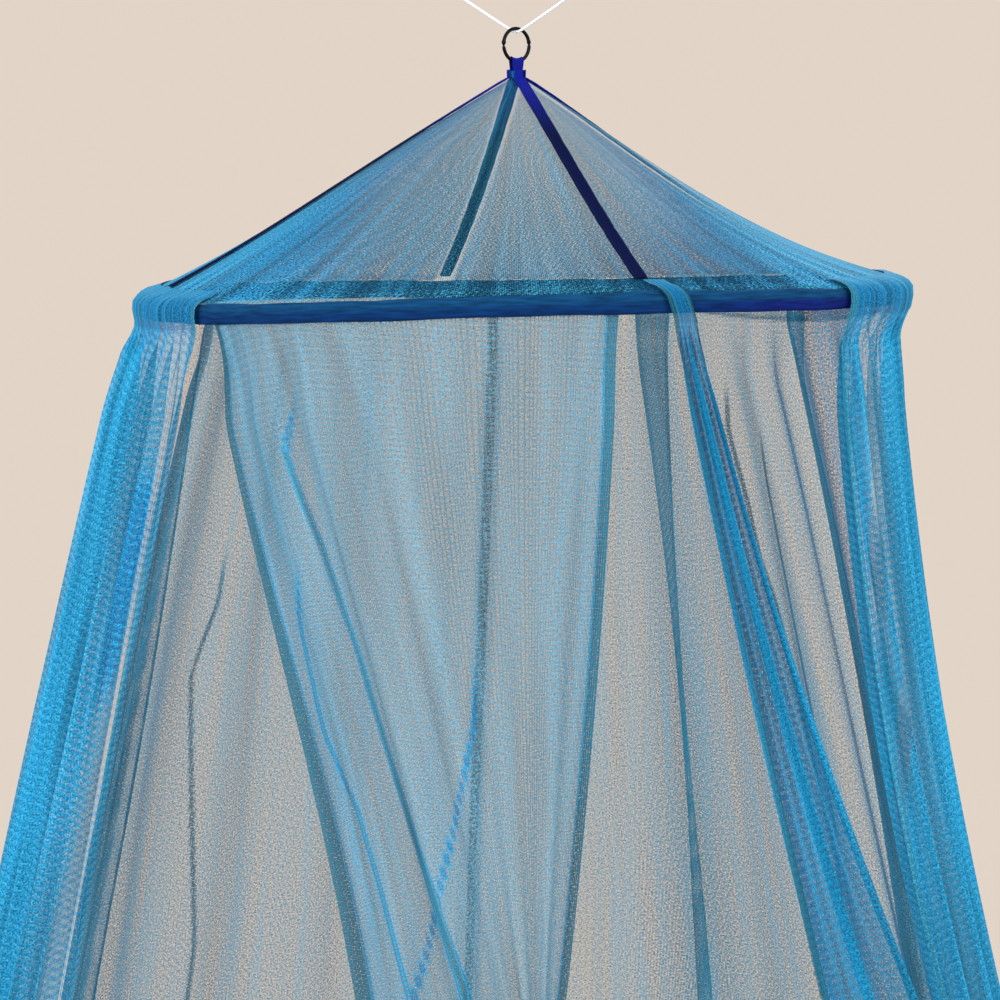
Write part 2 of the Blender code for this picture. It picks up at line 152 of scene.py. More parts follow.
# Fold tables: azimuth at the sleeve, 0.25 m down and 0.5 m down, how far the fold stands out,
# how many fine pleats lie between it and the next, and how closely the net is gathered (0 to 1)
FOLD_COLUMNS = ("top", "mid", "low", "out", "pleats", "gather")
FRONT_FOLDS = [
    (-49.5, -29.0, -16.9, 0.003, 0, 0.64),
    (-47.3, -27.0, -14.7, -0.004, 0, 0.60),
    (-43.0, -22.4, -11.2, 0.004, 0, 0.54),
    (-38.0, -19.5, -8.0, -0.005, 0, 0.45),
    (-33.0, -16.5, -5.0, 0.006, 0, 0.46),
    (-27.5, -13.0, -2.5, -0.004, 0, 0.44),
    (-21.0, -10.0, -1.0, 0.003, 0, 0.42),
    (-14.0, -7.0, -0.2, -0.003, 0, 0.41),
    (-7.0, -3.5, 0.4, 0.003, 0, 0.41),
    (0.0, 0.0, 1.0, -0.003, 0, 0.43),
    (6.0, 3.5, 1.7, 0.004, 0, 0.47),
    (10.5, 5.8, 2.4, -0.003, 0, 0.50),
    (12.7, 8.4, 3.6, 0.003, 0, 0.52),
]
FRONT_RIGHT_FOLDS = [
    (20.0, 27.0, 33.3, 0.005, 1, 0.95),
    (20.7, 28.5, 36.6, -0.007, 1, 0.92),
    (21.3, 30.1, 39.9, 0.008, 1, 0.90),
    (22.0, 31.7, 43.3, -0.008, 1, 0.84),
    (22.6, 33.2, 46.7, 0.007, 1, 0.74),
    (23.3, 34.8, 50.0, -0.002, 1, 0.62),
]
RIGHT_FOLDS = [
    (51.5, 51.0, 55.0, 0.003, 1, 0.80),
    (53.0, 53.0, 57.5, -0.007, 1, 0.92),
    (54.5, 55.5, 60.0, 0.008, 1, 0.90),
    (57.0, 58.0, 62.5, -0.008, 1, 0.55),
    (60.0, 61.0, 65.0, 0.008, 1, 0.30),
    (63.5, 64.0, 68.0, -0.006, 1, 0.55),
    (67.5, 67.5, 71.0, 0.006, 1, 0.86),
    (71.5, 71.5, 74.5, -0.007, 1, 0.90),
    (75.5, 75.5, 78.0, 0.006, 1, 0.92),
    (79.5, 79.5, 81.5, -0.006, 1, 0.92),
    (84.0, 84.0, 85.5, 0.005, 1, 0.88),
    (89.5, 89.0, 90.0, -0.006, 1, 0.68),
    (95.0, 94.0, 94.5, 0.006, 1, 0.46),
    (101.0, 99.0, 99.0, -0.006, 1, 0.34),
    (107.5, 104.5, 103.5, 0.006, 1, 0.40),
    (114.0, 109.5, 107.5, -0.006, 0, 0.52),
    (120.5, 114.0, 112.0, 0.004, 0, 0.60),
    (126.5, 118.7, 116.4, -0.003, 0, 0.60),
    (132.0, 123.2, 120.6, 0.002, 0, 0.62),
]
BACK_RIGHT_FOLDS = [
    (126.5, 116.0, 109.5, 0.003, 0, 0.42),
    (131.0, 120.5, 114.0, -0.004, 0, 0.46),
    (135.8, 125.0, 118.5, 0.004, 0, 0.48),
    (139.0, 129.8, 124.0, -0.003, 0, 0.50),
    (143.0, 135.5, 131.0, 0.004, 0, 0.52),
    (147.5, 142.0, 138.5, -0.003, 0, 0.51),
    (153.0, 149.0, 146.8, 0.003, 0, 0.56),
    (160.5, 155.9, 154.8, -0.001, 0, 0.78),
]
BACK_LEFT_FOLDS = [
    (153.9, 155.0, 154.2, 0.001, 0, 0.74),
    (160.0, 162.0, 164.0, -0.003, 0, 0.51),
    (168.0, 169.5, 171.0, 0.003, 0, 0.49),
    (176.0, 177.5, 178.5, -0.003, 0, 0.48),
    (182.5, 183.5, 184.5, 0.002, 0, 0.50),
    (184.5, 185.5, 186.5, -0.005, 0, 0.58),
    (187.0, 187.8, 188.8, 0.003, 0, 0.50),
    (195.0, 195.0, 195.5, -0.004, 0, 0.48),
    (203.0, 202.5, 202.5, 0.004, 0, 0.50),
    (211.0, 210.5, 210.0, -0.004, 0, 0.51),
    (219.0, 218.5, 218.0, 0.004, 0, 0.51),
    (225.0, 225.5, 225.5, -0.004, 0, 0.50),
    (230.5, 233.0, 233.0, 0.004, 0, 0.50),
    (237.0, 240.5, 241.5, -0.004, 0, 0.48),
    (241.5, 245.0, 246.5, 0.003, 0, 0.60),
]
LEFT_FOLDS = [
    (-52.3, -55.0, -54.3, 0.003, 0, 0.80),
    (-54.5, -55.7, -56.4, -0.006, 1, 0.50),
    (-57.2, -58.0, -58.7, 0.007, 1, 0.52),
    (-60.0, -60.5, -61.1, -0.008, 1, 0.62),
    (-62.8, -63.0, -63.6, 0.008, 1, 0.74),
    (-65.5, -65.4, -66.0, -0.009, 1, 0.85),
    (-69.0, -68.8, -69.2, 0.009, 1, 0.92),
    (-72.5, -72.4, -72.6, -0.009, 1, 0.94),
    (-76.0, -76.0, -76.0, 0.008, 1, 0.94),
    (-79.5, -79.5, -79.5, -0.008, 1, 0.92),
    (-83.0, -83.2, -83.2, 0.007, 1, 0.84),
    (-87.0, -87.2, -87.2, -0.006, 1, 0.45),
    (-91.0, -91.5, -91.5, 0.006, 1, 0.26),
    (-95.5, -96.5, -96.5, -0.005, 1, 0.18),
    (-100.0, -101.5, -101.5, 0.005, 1, 0.16),
    (-104.5, -106.5, -106.5, -0.005, 1, 0.15),
    (-109.0, -111.5, -111.5, 0.005, 1, 0.15),
    (-113.5, -115.5, -115.0, -0.005, 1, 0.20),
    (-117.5, -119.0, -118.4, 0.004, 0, 0.24),
    (-120.5, -122.0, -121.5, 0.001, 0, 0.40),
]

# A wall's place at the sleeve, its looks, and its side hems' widths: left at the top and low, then right.
# Its tone on the net tones carries painted light and shade: the front wall takes the colour of net lit
# from the front, fall lowers that painted light where the net gathers, and hem_tone is its hems' tone
REAR_RIGHT_HEMS = (0.001, 0.001, 0.003, 0.002)
REAR_LEFT_HEMS = (0.003, 0.002, 0.010, 0.024)
WALL_COLUMNS = (
    "name", "folds", "outer", "mouth", "set_out", "start_turn", "tone", "fall", "hem_tone", "ribs", "hems",
)
WALLS = [
    ("wall_front", FRONT_FOLDS, False, 0.001, -0.004, 0, 1.0, 0.4, 0.20, 0, (0.005, 0.013, 0.0085, 0.0075)),
    ("wall_front_right", FRONT_RIGHT_FOLDS, True, 0, 0, -3, 0.66, 0, 0.2, 0.35, (0.005, 0.007, 0.004, 0.006)),
    ("wall_right", RIGHT_FOLDS, True, 0, -0.002, 0, 0.70, 0, 0.36, 0.8, (0.010, 0.012, 0.004, 0.034)),
    ("wall_back_right", BACK_RIGHT_FOLDS, False, -0.001, -0.021, 0, 0.38, 0, 0.36, 0, REAR_RIGHT_HEMS),
    ("wall_back_left", BACK_LEFT_FOLDS, False, 0.001, -0.012, 0, 0.38, 0, 0.40, 0, REAR_LEFT_HEMS),
    ("wall_left", LEFT_FOLDS, True, 0, -0.003, 0, 0.70, 0, 0.36, 1.0, (0.005, 0.005, 0.003, 0.003)),
]
WALLS = [dict(zip(WALL_COLUMNS, row)) for row in WALLS]

# Creases pressed into the net: the wall, half width at both ends, strength, and points (drop,
# azimuth); a crease makes the net denser and paints it darker, painted shade in the fold; a negative
# strength is a thin place that lets the light through
CREASE_COLUMNS = ("wall", "widths", "strength", "line")
CREASES = [
    ("wall_front", (0.0020, 0.0042), 0.7, (
        (0.09, -32.7), (0.16, -26.2), (0.23, -20.7), (0.31, -15.5), (0.39, -10.5), (0.46, -6.5), (0.60, -2.0),
    )),
    ("wall_front", (0.0018, 0.0022), 0.5, (
        (0.21, -28.5), (0.29, -24.0), (0.34, -19.0), (0.39, -16.0), (0.47, -12.0), (0.60, -9.0),
    )),
    ("wall_front", (0.0018, 0.0022), 0.5, (
        (0.28, -6.0), (0.31, -6.7), (0.36, -8.2), (0.41, -9.7), (0.47, -11.7), (0.60, -14.0),
    )),
    ("wall_back_left", (0.0042, 0.0036), 0.75, ((0.0, 184.5), (0.25, 185.6), (0.5, 186.6), (0.9, 187.4))),
    ("wall_back_left", (0.0018, 0.0024), 0.55, (
        (0.26, 229.0), (0.33, 231.5), (0.42, 229.5), (0.58, 226.0), (0.8, 226.0),
    )),
    ("wall_back_right", (0.0020, 0.0028), 0.8, (
        (0.12, 142.2), (0.18, 139.7), (0.23, 138.2), (0.27, 136.0), (0.33, 133.7), (0.50, 129.0),
    )),
    ("wall_back_right", (0.0018, 0.0022), 0.6, ((0.16, 134.5), (0.24, 132.5), (0.31, 130.7), (0.45, 127.5))),
    ("wall_left", (0.003, 0.011), -0.6, (
        (0.27, -56.2), (0.33, -57.0), (0.41, -57.9), (0.54, -58.6), (0.9, -59.0),
    )),
    ("wall_left", (0.016, 0.010), 0.30, ((0.14, -58.0), (0.20, -58.2), (0.25, -58.6))),
    ("wall_right", (0.0030, 0.0036), -0.85, ((0.09, 59.5), (0.12, 58.5), (0.28, 56.6), (0.36, 55.4))),
    ("wall_right", (0.0030, 0.0036), -0.95, ((0.11, 55.3), (0.20, 54.6))),
    ("wall_right", (0.005, 0.006), -0.55, ((0.10, 104.0), (0.16, 107.5), (0.26, 110.5), (0.36, 112.0))),
    ("wall_right", (0.004, 0.006), -0.6, ((0.14, 115.5), (0.28, 114.5))),
]
CREASES = [dict(zip(CREASE_COLUMNS, row)) for row in CREASES]
# The tone creases are painted towards: painted shade in the fold
CREASE_SHADE_TONE = 0.24
CREASE_FADE = 0.05
CREASE_LIFT = 0.0012

# The strip of net that sags under the sleeve at the right: its azimuths, its edge and how dense it is;
# the same amounts paint it darker, painted shade under the sleeve
TUCK_SPAN = (104.0, 152.0)
TUCK_DROP = 0.013
TUCK_SAG = 0.010
TUCK_EDGE_WIDTH = 0.0014
TUCK_EDGE_COVER = 0.6
TUCK_COVER = 0.2

# Radii of the walls under the sleeve, the drops where their rows change their spacing, and fine pleats
LEFT_RADIUS = 0.311
RIGHT_RADIUS = 0.298
FRONT_RADIUS = 0.305
NEAR_DROP = 0.04
BAND_DROP = 0.10
SEEN_DROP = 0.60
COLUMNS_PER_FOLD = 24
FINE_PLEAT = 0.0022
FINE_PLEAT_LOW = 0.0045

# Lumps on the sleeve's top: azimuth, height and width in degrees
SLEEVE_LUMPS = [
    (16.4, 0.0013, 2.2), (24.3, 0.0012, 3.2), (40.5, 0.0016, 3.0), (33.0, 0.0006, 6.0), (-36.0, 0.0005, 4.0),
]

# How closely each gore's net stands and its tone, by the seam it starts at; the tone carries
# the painted light and shade of the net tones
CROWN_COVER = {"left": 0.18, "front": 0.11, "right": 0.52, "back": 0.56}
CROWN_SIDE_COVER = 0.66
CROWN_SIDE_TONE = 0.51
CROWN_TONES = {"left": 0.22, "front": 0.20, "right": 0.27, "back": 0.27}
CROWN_RIBS = 0.5
CROWN_COLUMNS = 84
CROWN_MEAN_RADIUS = 0.19
CROWN_PLEAT = 0.00022
TAPE_SHADE_REACH = 0.007
TAPE_SHADE = 0.97

# Net threads and ribs; tones run from a doubled hem in shade to net lit from the front. Below the
# table: tone seen edge on, ribs, grain, streaks, soft thread edges, and limits of what is clear
NET_TONES = [
    (0.0, (0.014, 0.085, 0.140)),
    (0.25, (0.020, 0.125, 0.190)),
    (0.38, (0.034, 0.255, 0.385)),
    (0.55, (0.009, 0.155, 0.340)),
    (0.70, (0.012, 0.245, 0.440)),
    (1.0, (0.105, 0.240, 0.315)),
]
EDGE_TONE = 0.68
RIB_TONE = 0.6
RIB_DEPTH = 0.22
GRAIN_SCALE = 620.0
GRAIN_DEPTH = 1.35
STREAK_DEPTH = 0.35
NET_SOFT = 0.38
NET_PITCH = 0.0011
LEAST_SQUARE_ON = 0.07
LEAST_CLEAR = 0.02
MOST_CLEAR = 0.98
EDGE_FULL = 0.10

# Streaks across and down the cloth, and shading as (from low, from high, to low, to high); the
# streaks' shading is painted light and shade along the folds, the grain's a tone that differs at random
STREAK_SCALE = (95.0, 4.0)
STREAK_FOLD_SHADES = (0.32, 0.68, 0.66, 1.26)
GRAIN_SHADES = (0.30, 0.70, 0.72, 1.28)
RIB_SHADES = (0.0, 1.0, 0.92, 1.30)
BUMP_STRENGTH = 0.4

# Webbing: how far down the tapes are royal blue, where the sleeve's lower half starts across the
# webbing, and where it turns purple, in x
ROYAL_END = 0.11
SLEEVE_UPPER = 0.0235
SLEEVE_LOWER = 0.0275
SLEEVE_STREAKS = (500.0, 45.0)
PURPLE_SPAN = (0.11, 0.19)
SLEEVE_BLUE = (0.0045, 0.048, 0.130, 1.0)
SLEEVE_NAVY = (0.003, 0.028, 0.110, 1.0)
SLEEVE_PURPLE = (0.005, 0.014, 0.130, 1.0)

# Light
STUDIO_LIGHT = (0.93, 0.96, 1.0, 1.0)
BACKDROP = (0.757, 0.662, 0.570, 1.0)
LAMP_COLUMNS = ("name", "place", "size", "power", "colour")
LAMPS = [
    ("key", (1.4, -2.3, 1.3), 1.6, 50.0, (1.0, 0.98, 0.96)),
    ("fill", (-2.2, -1.8, 0.4), 1.8, 45.0, (0.93, 0.97, 1.0)),
    ("rim", (0.4, 2.4, 1.2), 1.8, 40.0, (1.0, 0.97, 0.93)),
]


# Shared geometry
def smoothstep(value):
    value = min(max(value, 0.0), 1.0)
    return value * value * (3.0 - 2.0 * value)


def hoop_lift(azimuth):
    turn = math.radians(azimuth)
    tilt = HOOP_RADIUS * (HOOP_TILT_SIDE * math.sin(turn) - HOOP_TILT_BACK * math.cos(turn))
    return tilt + HOOP_TWIST * math.sin(2.0 * turn) + HOOP_BOW * math.cos(3.0 * turn)


def round_point(azimuth, radius, z):
    turn = math.radians(azimuth)
    x = radius * math.sin(turn)
    return Vector((HOOP_CENTRE_X + x, -radius * math.cos(turn), z + hoop_lift(azimuth)))


def seam_blend(azimuth):
    for index, first in enumerate(SEAMS):
        second = SEAMS[(index + 1) % len(SEAMS)]
        span = (second["azimuth"] - first["azimuth"]) % 360.0
        past = (azimuth - first["azimuth"]) % 360.0
        if past <= span:
            return first, second, past / span
    return SEAMS[0], SEAMS[0], 0.0


def crown_sag(azimuth, share):
    first, second, between = seam_blend(azimuth)
    drop = 0.0
    for seam, weight in ((first, 1.0 - between), (second, between)):
        drop += weight * seam["sag"] * math.sin(math.pi * share ** seam["skew"])
    return drop + GORE_SAG * math.sin(math.pi * between) ** 2 * math.sin(math.pi * share)


def crown_point(azimuth, share):
    turn = math.radians(azimuth)
    radius = NECK_RADIUS + (HOOP_RADIUS - NECK_RADIUS) * share
    foot_z = HOOP_Z + CROWN_EDGE_RISE
    z = NECK_FOOT_Z + (foot_z - NECK_FOOT_Z) * share - crown_sag(azimuth, share)
    x = share * HOOP_CENTRE_X + radius * math.sin(turn)
    return Vector((x, -radius * math.cos(turn), z + share * hoop_lift(azimuth)))


def neck_point(azimuth, z, out=0.0):
    turn = math.radians(azimuth)
    radius = NECK_RADIUS + out
    return Vector((radius * math.sin(turn), -radius * math.cos(turn), z))


def grid_mesh(name, grid, uv, values=None, closed=False):
    """A sheet from rows of points, with a UV map in metres and named values on its points."""
    mesh = bpy.data.meshes.new(name)
    build = bmesh.new()
    rows = [[build.verts.new(point) for point in row] for row in grid]
    wide = len(rows[0])
    layer = build.loops.layers.uv.new("cloth")
    for r in range(len(rows) - 1):
        for c in range(wide if closed else wide - 1):
            beside = (c + 1) % wide
            face = build.faces.new((rows[r][c], rows[r + 1][c], rows[r + 1][beside], rows[r][beside]))
            face.smooth = True
            places = ((r, c), (r + 1, c), (r + 1, c + 1), (r, c + 1))
            for loop, (row, column) in zip(face.loops, places):
                loop[layer].uv = uv(row, column)
    build.to_mesh(mesh)
    build.free()
    for title, table in (values or {}).items():
        attribute = mesh.attributes.new(title, "FLOAT", "POINT")
        attribute.data.foreach_set("value", [value for row in table for value in row])
    return link_object(name, mesh)


def thicken(obj, thickness):
    solid = obj.modifiers.new("thickness", "SOLIDIFY")
    solid.thickness = thickness
    solid.offset = 0.0


def wear(obj, paint):
    obj.data.materials.clear()
    obj.data.materials.append(paint)


def fit_piece(obj, node, paint):
    """The piece takes its paint and its slot, moves with the part and stands for its solid."""
    wear(obj, paint)
    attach(obj, "root")
    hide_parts(node)


def link_object(name, data):
    obj = bpy.data.objects.new(name, data)
    bpy.context.scene.collection.objects.link(obj)
    return obj


# Material building blocks
class Nodes:
    """Short calls for adding and linking shader nodes in one tree."""

    def __init__(self, tree):
        self.tree = tree

    def add(self, kind, **settings):
        node = self.tree.nodes.new(kind)
        for key, value in settings.items():
            setattr(node, key, value)
        return node

    def feed(self, socket, source):
        if hasattr(source, "is_output"):
            self.tree.links.new(source, socket)
        else:
            socket.default_value = source

    def math(self, operation, *sources):
        node = self.add("ShaderNodeMath", operation=operation)
        for socket, source in zip(node.inputs, sources):
            self.feed(socket, source)
        return node.outputs[0]

    def plus(self, first, second):
        return self.math("ADD", first, second)

    def minus(self, first, second):
        return self.math("SUBTRACT", first, second)

    def times(self, first, second):
        return self.math("MULTIPLY", first, second)

    def scaled_plus(self, value, scale, more):
        return self.math("MULTIPLY_ADD", value, scale, more)

    def wave(self, turns):
        return self.math("SINE", self.times(turns, 2.0 * math.pi))

    def mix_colour(self, share, first, second):
        node = self.add("ShaderNodeMix", data_type="RGBA")
        for place, source in ((0, share), (6, first), (7, second)):
            self.feed(node.inputs[place], source)
        return node.outputs[2]

    def ramp(self, value, low, high, to_low=0.0, to_high=1.0, smooth=False):
        node = self.add("ShaderNodeMapRange")
        node.interpolation_type = "SMOOTHSTEP" if smooth else "LINEAR"
        for socket, source in zip(node.inputs, (value, low, high, to_low, to_high)):
            self.feed(socket, source)
        return node.outputs[0]

    def cloth(self):
        return self.add("ShaderNodeUVMap", uv_map="cloth").outputs[0]

    def place(self):
        return self.add("ShaderNodeTexCoord").outputs["Object"]

    def value(self, title):
        return self.add("ShaderNodeAttribute", attribute_name=title).outputs["Fac"]

    def split(self, vector):
        node = self.add("ShaderNodeSeparateXYZ")
        self.feed(node.inputs[0], vector)
        return node.outputs

    def noise(self, vector, scale, detail=2.0):
        node = self.add("ShaderNodeTexNoise")
        node.inputs["Scale"].default_value = scale
        node.inputs["Detail"].default_value = detail
        self.feed(node.inputs["Vector"], vector)
        return node.outputs[0]

    def streaks(self, vector, scale, detail):
        """Noise drawn out along the cloth; the scale is given across and down."""
        node = self.add("ShaderNodeMapping")
        node.inputs["Scale"].default_value = (*scale, 1.0)
        self.feed(node.inputs["Vector"], vector)
        return self.noise(node.outputs[0], 1.0, detail)

    def shaded(self, colour, strength):
        node = self.add("ShaderNodeVectorMath", operation="SCALE")
        self.feed(node.inputs[0], colour)
        self.feed(node.inputs["Scale"], strength)
        return node.outputs[0]

    def bump(self, shader, height, depth):
        node = self.add("ShaderNodeBump")
        node.inputs["Strength"].default_value = BUMP_STRENGTH
        node.inputs["Distance"].default_value = depth
        self.feed(node.inputs["Height"], height)
        self.feed(shader.inputs["Normal"], node.outputs[0])


def new_group(name, inputs, outputs):
    """A shader group of numbers; an input that has no value of its own is a vector."""
    tree = bpy.data.node_groups.new(name, "ShaderNodeTree")
    for title, value in inputs.items():
        kind = "NodeSocketVector" if value is None else "NodeSocketFloat"
        socket = tree.interface.new_socket(title, in_out="INPUT", socket_type=kind)
        if value is not None:
            socket.default_value = value
    for title in outputs:
        tree.interface.new_socket(title, in_out="OUTPUT", socket_type="NodeSocketFloat")
    make = Nodes(tree)
    asked = make.add("NodeGroupInput").outputs
    return tree, make, asked, make.add("NodeGroupOutput").inputs


def net_threads_group():
    """Fine square net whose threads leave just the share of clear holes that is asked for."""
    inputs = {"Vector": None, "Pitch": NET_PITCH, "Clear": 0.5}
    tree, make, asked, given = new_group("net threads", inputs, ["Mask"])
    lines = []
    for axis in make.split(asked["Vector"])[:2]:
        cell = make.math("FRACT", make.math("DIVIDE", axis, asked["Pitch"]))
        lines.append(make.times(make.math("ABSOLUTE", make.minus(cell, 0.5)), 2.0))
    nearest = make.math("MAXIMUM", *lines)
    hole = make.math("SQRT", asked["Clear"])
    make.feed(given["Mask"], make.ramp(nearest, make.minus(hole, NET_SOFT), make.plus(hole, NET_SOFT)))
    return tree


def ribs_group():
    """The light and dark ribs where meshes of gathered net fall over one another."""
    inputs = {"Vector": None, "Spacing": 0.0046, "Slant": 0.35, "Wander": 0.0}
    tree, make, asked, given = new_group("net ribs", inputs, ["Mask"])
    place = make.split(asked["Vector"])
    slanted = make.scaled_plus(place[0], asked["Slant"], place[1])
    turns = make.plus(make.math("DIVIDE", slanted, asked["Spacing"]), asked["Wander"])
    make.feed(given["Mask"], make.scaled_plus(make.wave(turns), 0.5, 0.5))
    return tree


def weave_group():
    """Narrow-woven tape: diagonal ribs and the small steps of its threads. Light is the fibres' random
    tone plus the weave's height: painted light on the raised threads and painted shade in the grooves.
    """
    inputs = {"Vector": None, "Rib": 0.0011, "Step": 0.0007}
    tree, make, asked, given = new_group("tape weave", inputs, ["Height", "Light"])
    place = make.split(asked["Vector"])
    across = make.math("DIVIDE", place[0], asked["Rib"])
    down = make.math("DIVIDE", place[1], asked["Step"])
    rib = make.wave(make.scaled_plus(down, 0.5, across))
    height = make.scaled_plus(rib, 0.35, make.scaled_plus(make.wave(down), 0.15, 0.5))
    fibre = make.noise(asked["Vector"], 900.0)
    make.feed(given["Height"], height)
    make.feed(given["Light"], make.scaled_plus(fibre, 0.5, make.times(height, 0.5)))
    return tree


def new_paint(name, roughness=0.5, specular=0.5):
    paint = bpy.data.materials.new(name)
    paint.use_nodes = True
    shader = paint.node_tree.nodes["Principled BSDF"]
    shader.inputs["Roughness"].default_value = roughness
    shader.inputs["Specular IOR Level"].default_value = specular
    return paint, Nodes(paint.node_tree), shader


def put_group(make, tree, **inputs):
    node = make.add("ShaderNodeGroup", node_tree=tree)
    for title, source in inputs.items():
        make.feed(node.inputs[title], source)
    return node.outputs


def net_paint(name, threads, ribs, slant, spacing, edge):
    """See-through knitted net: open in plain stretches, solid blue where gathered or seen edge on."""
    paint, make, shader = new_paint(name, 0.8, 0.1)
    uv = make.cloth()
    gather = make.value("gather")
    tone = make.value("tone")
    grain = make.noise(uv, GRAIN_SCALE, 0.0)
    grain_value = make.minus(grain, 0.5)
    streaks = make.streaks(uv, STREAK_SCALE, 1.0)
    streak_value = make.minus(streaks, 0.5)
    wander = make.scaled_plus(streak_value, 1.1, make.times(grain_value, 0.5))
    rib = put_group(make, ribs, Vector=uv, Wander=wander, Slant=slant, Spacing=spacing)["Mask"]
    rib_share = make.times(make.value("ribs"), rib)
    facing = make.add("ShaderNodeLayerWeight")
    facing.inputs[0].default_value = 0.5
    square_on = make.math("MAXIMUM", make.minus(1.0, facing.outputs["Facing"]), LEAST_SQUARE_ON)
    thin = make.ramp(gather, 0.0, 0.30, 0.15, 1.0)
    closed = make.scaled_plus(make.times(grain_value, thin), GRAIN_DEPTH, gather)
    closed = make.scaled_plus(streak_value, STREAK_DEPTH, closed)
    closed = make.scaled_plus(rib_share, -RIB_DEPTH, closed)
    clear = make.math("MINIMUM", make.math("MAXIMUM", make.minus(1.0, closed), LEAST_CLEAR), MOST_CLEAR)
    clear = make.math("POWER", clear, make.math("DIVIDE", 1.0, square_on))
    make.feed(shader.inputs["Alpha"], put_group(make, threads, Vector=uv, Clear=clear)["Mask"])
    edge_on = make.ramp(square_on, edge, EDGE_FULL, smooth=True)
    toned = make.scaled_plus(edge_on, make.minus(EDGE_TONE, tone), tone)
    rib_light = make.times(make.minus(1.0, gather), RIB_TONE)
    toned = make.scaled_plus(rib_share, rib_light, toned)
    # The net tones put painted light and shade into the colour, from a hem in shade to net lit from the front
    tones = make.add("ShaderNodeValToRGB")
    stops = tones.color_ramp.elements
    for spot, colour in NET_TONES[1:-1]:
        stops.new(spot)
    for stop, (spot, colour) in zip(stops, NET_TONES):
        stop.position = spot
        stop.color = (*colour, 1.0)
    make.feed(tones.inputs[0], toned)
    # The colour is scaled by the streaks' painted fold shade, the grain's random tone and the ribs
    strength = make.times(make.ramp(streaks, *STREAK_FOLD_SHADES), make.ramp(grain, *GRAIN_SHADES))
    strength = make.times(strength, make.ramp(rib_share, *RIB_SHADES))
    make.feed(shader.inputs["Base Color"], make.shaded(tones.outputs[0], strength))
    return paint


def tape_paint(name, weave, dark, light, top=None):
    """Woven tape; where top is given the tape's upper end is that colour."""
    paint, make, shader = new_paint(name, 0.95, 0.02)
    uv = make.cloth()
    woven = put_group(make, weave, Vector=uv)
    # Dark to light with the weave: fibre tone, painted light on raised threads, painted shade in the grooves
    colour = make.mix_colour(make.ramp(woven["Light"], 0.25, 0.85), (*dark, 1.0), (*light, 1.0))
    if top:
        upper = make.ramp(make.split(uv)[1], ROYAL_END, 0.0, smooth=True)
        colour = make.mix_colour(upper, colour, (*top, 1.0))
    make.feed(shader.inputs["Base Color"], colour)
    make.bump(shader, woven["Height"], 0.0004)
    return paint


def sleeve_paint(weave):
    """Navy webbing: a lighter upper half, a darker lower half and a purple shade to the right."""
    paint, make, shader = new_paint("navy sleeve", 0.85, 0.04)
    uv = make.cloth()
    woven = put_group(make, weave, Vector=uv)
    streaks = make.streaks(uv, SLEEVE_STREAKS, 2.0)
    lower = make.ramp(make.split(uv)[0], SLEEVE_UPPER, SLEEVE_LOWER)
    right = make.ramp(make.split(make.place())[0], *PURPLE_SPAN)
    colour = make.mix_colour(lower, SLEEVE_BLUE, SLEEVE_NAVY)
    colour = make.mix_colour(make.times(right, lower), colour, SLEEVE_PURPLE)
    # The weave's painted light and shade scale the sleeve's colour
    shade = make.ramp(woven["Light"], 0.25, 0.85, 0.75, 1.2)
    shade = make.times(shade, make.ramp(streaks, 0.3, 0.7, 0.65, 1.35))
    make.feed(shader.inputs["Base Color"], make.shaded(colour, shade))
    make.bump(shader, streaks, 0.0005)
    return paint


def ring_paint():
    paint, make, shader = new_paint("black ring", specular=0.12)
    scuffs = make.noise(make.place(), 700.0)
    make.feed(shader.inputs["Roughness"], make.ramp(scuffs, 0.3, 0.8, 0.22, 0.42))
    shader.inputs["Base Color"].default_value = (0.001, 0.001, 0.0015, 1.0)
    return paint


def cord_paint():
    paint, make, shader = new_paint("white cord", 0.8)
    fibre = make.noise(make.place(), 2600.0, 3.0)
    colour = make.mix_colour(make.ramp(fibre, 0.3, 0.7), (0.66, 0.66, 0.66, 1.0), (0.90, 0.90, 0.89, 1.0))
    make.feed(shader.inputs["Base Color"], colour)
    make.bump(shader, fibre, 0.0001)
    return paint


def wire_paint():
    paint, make, shader = new_paint("coated wire")
    grain = make.noise(make.place(), 300.0)
    make.feed(shader.inputs["Roughness"], make.ramp(grain, 0.3, 0.7, 0.3, 0.5))
    shader.inputs["Base Color"].default_value = (0.62, 0.62, 0.60, 1.0)
    return paint


# Camera and cord
def place_camera():
    camera = bpy.data.cameras.new("camera")
    camera.lens = CAMERA_LENS
    camera.sensor_width = 36.0
    obj = link_object("camera", camera)
    aim(obj, CAMERA_PLACE, CAMERA_AIM)
    bpy.context.scene.camera = obj


def aim(obj, place, target):
    obj.location = place
    obj.rotation_euler = (Vector(target) - Vector(place)).to_track_quat("-Z", "Y").to_euler()


def cord_point(reach):
    turn = math.radians(CORD_TURN)
    rise = CORD_SLOPE * (math.hypot(reach, CORD_BEND) - CORD_BEND)
    seat = -(CORD_RADIUS + GAP)
    return Vector((reach * math.cos(turn), reach * math.sin(turn), seat + rise))


def cord_line():
    return [cord_point(CORD_REACH * (2.0 * step / CORD_STEPS - 1.0)) for step in range(CORD_STEPS + 1)]


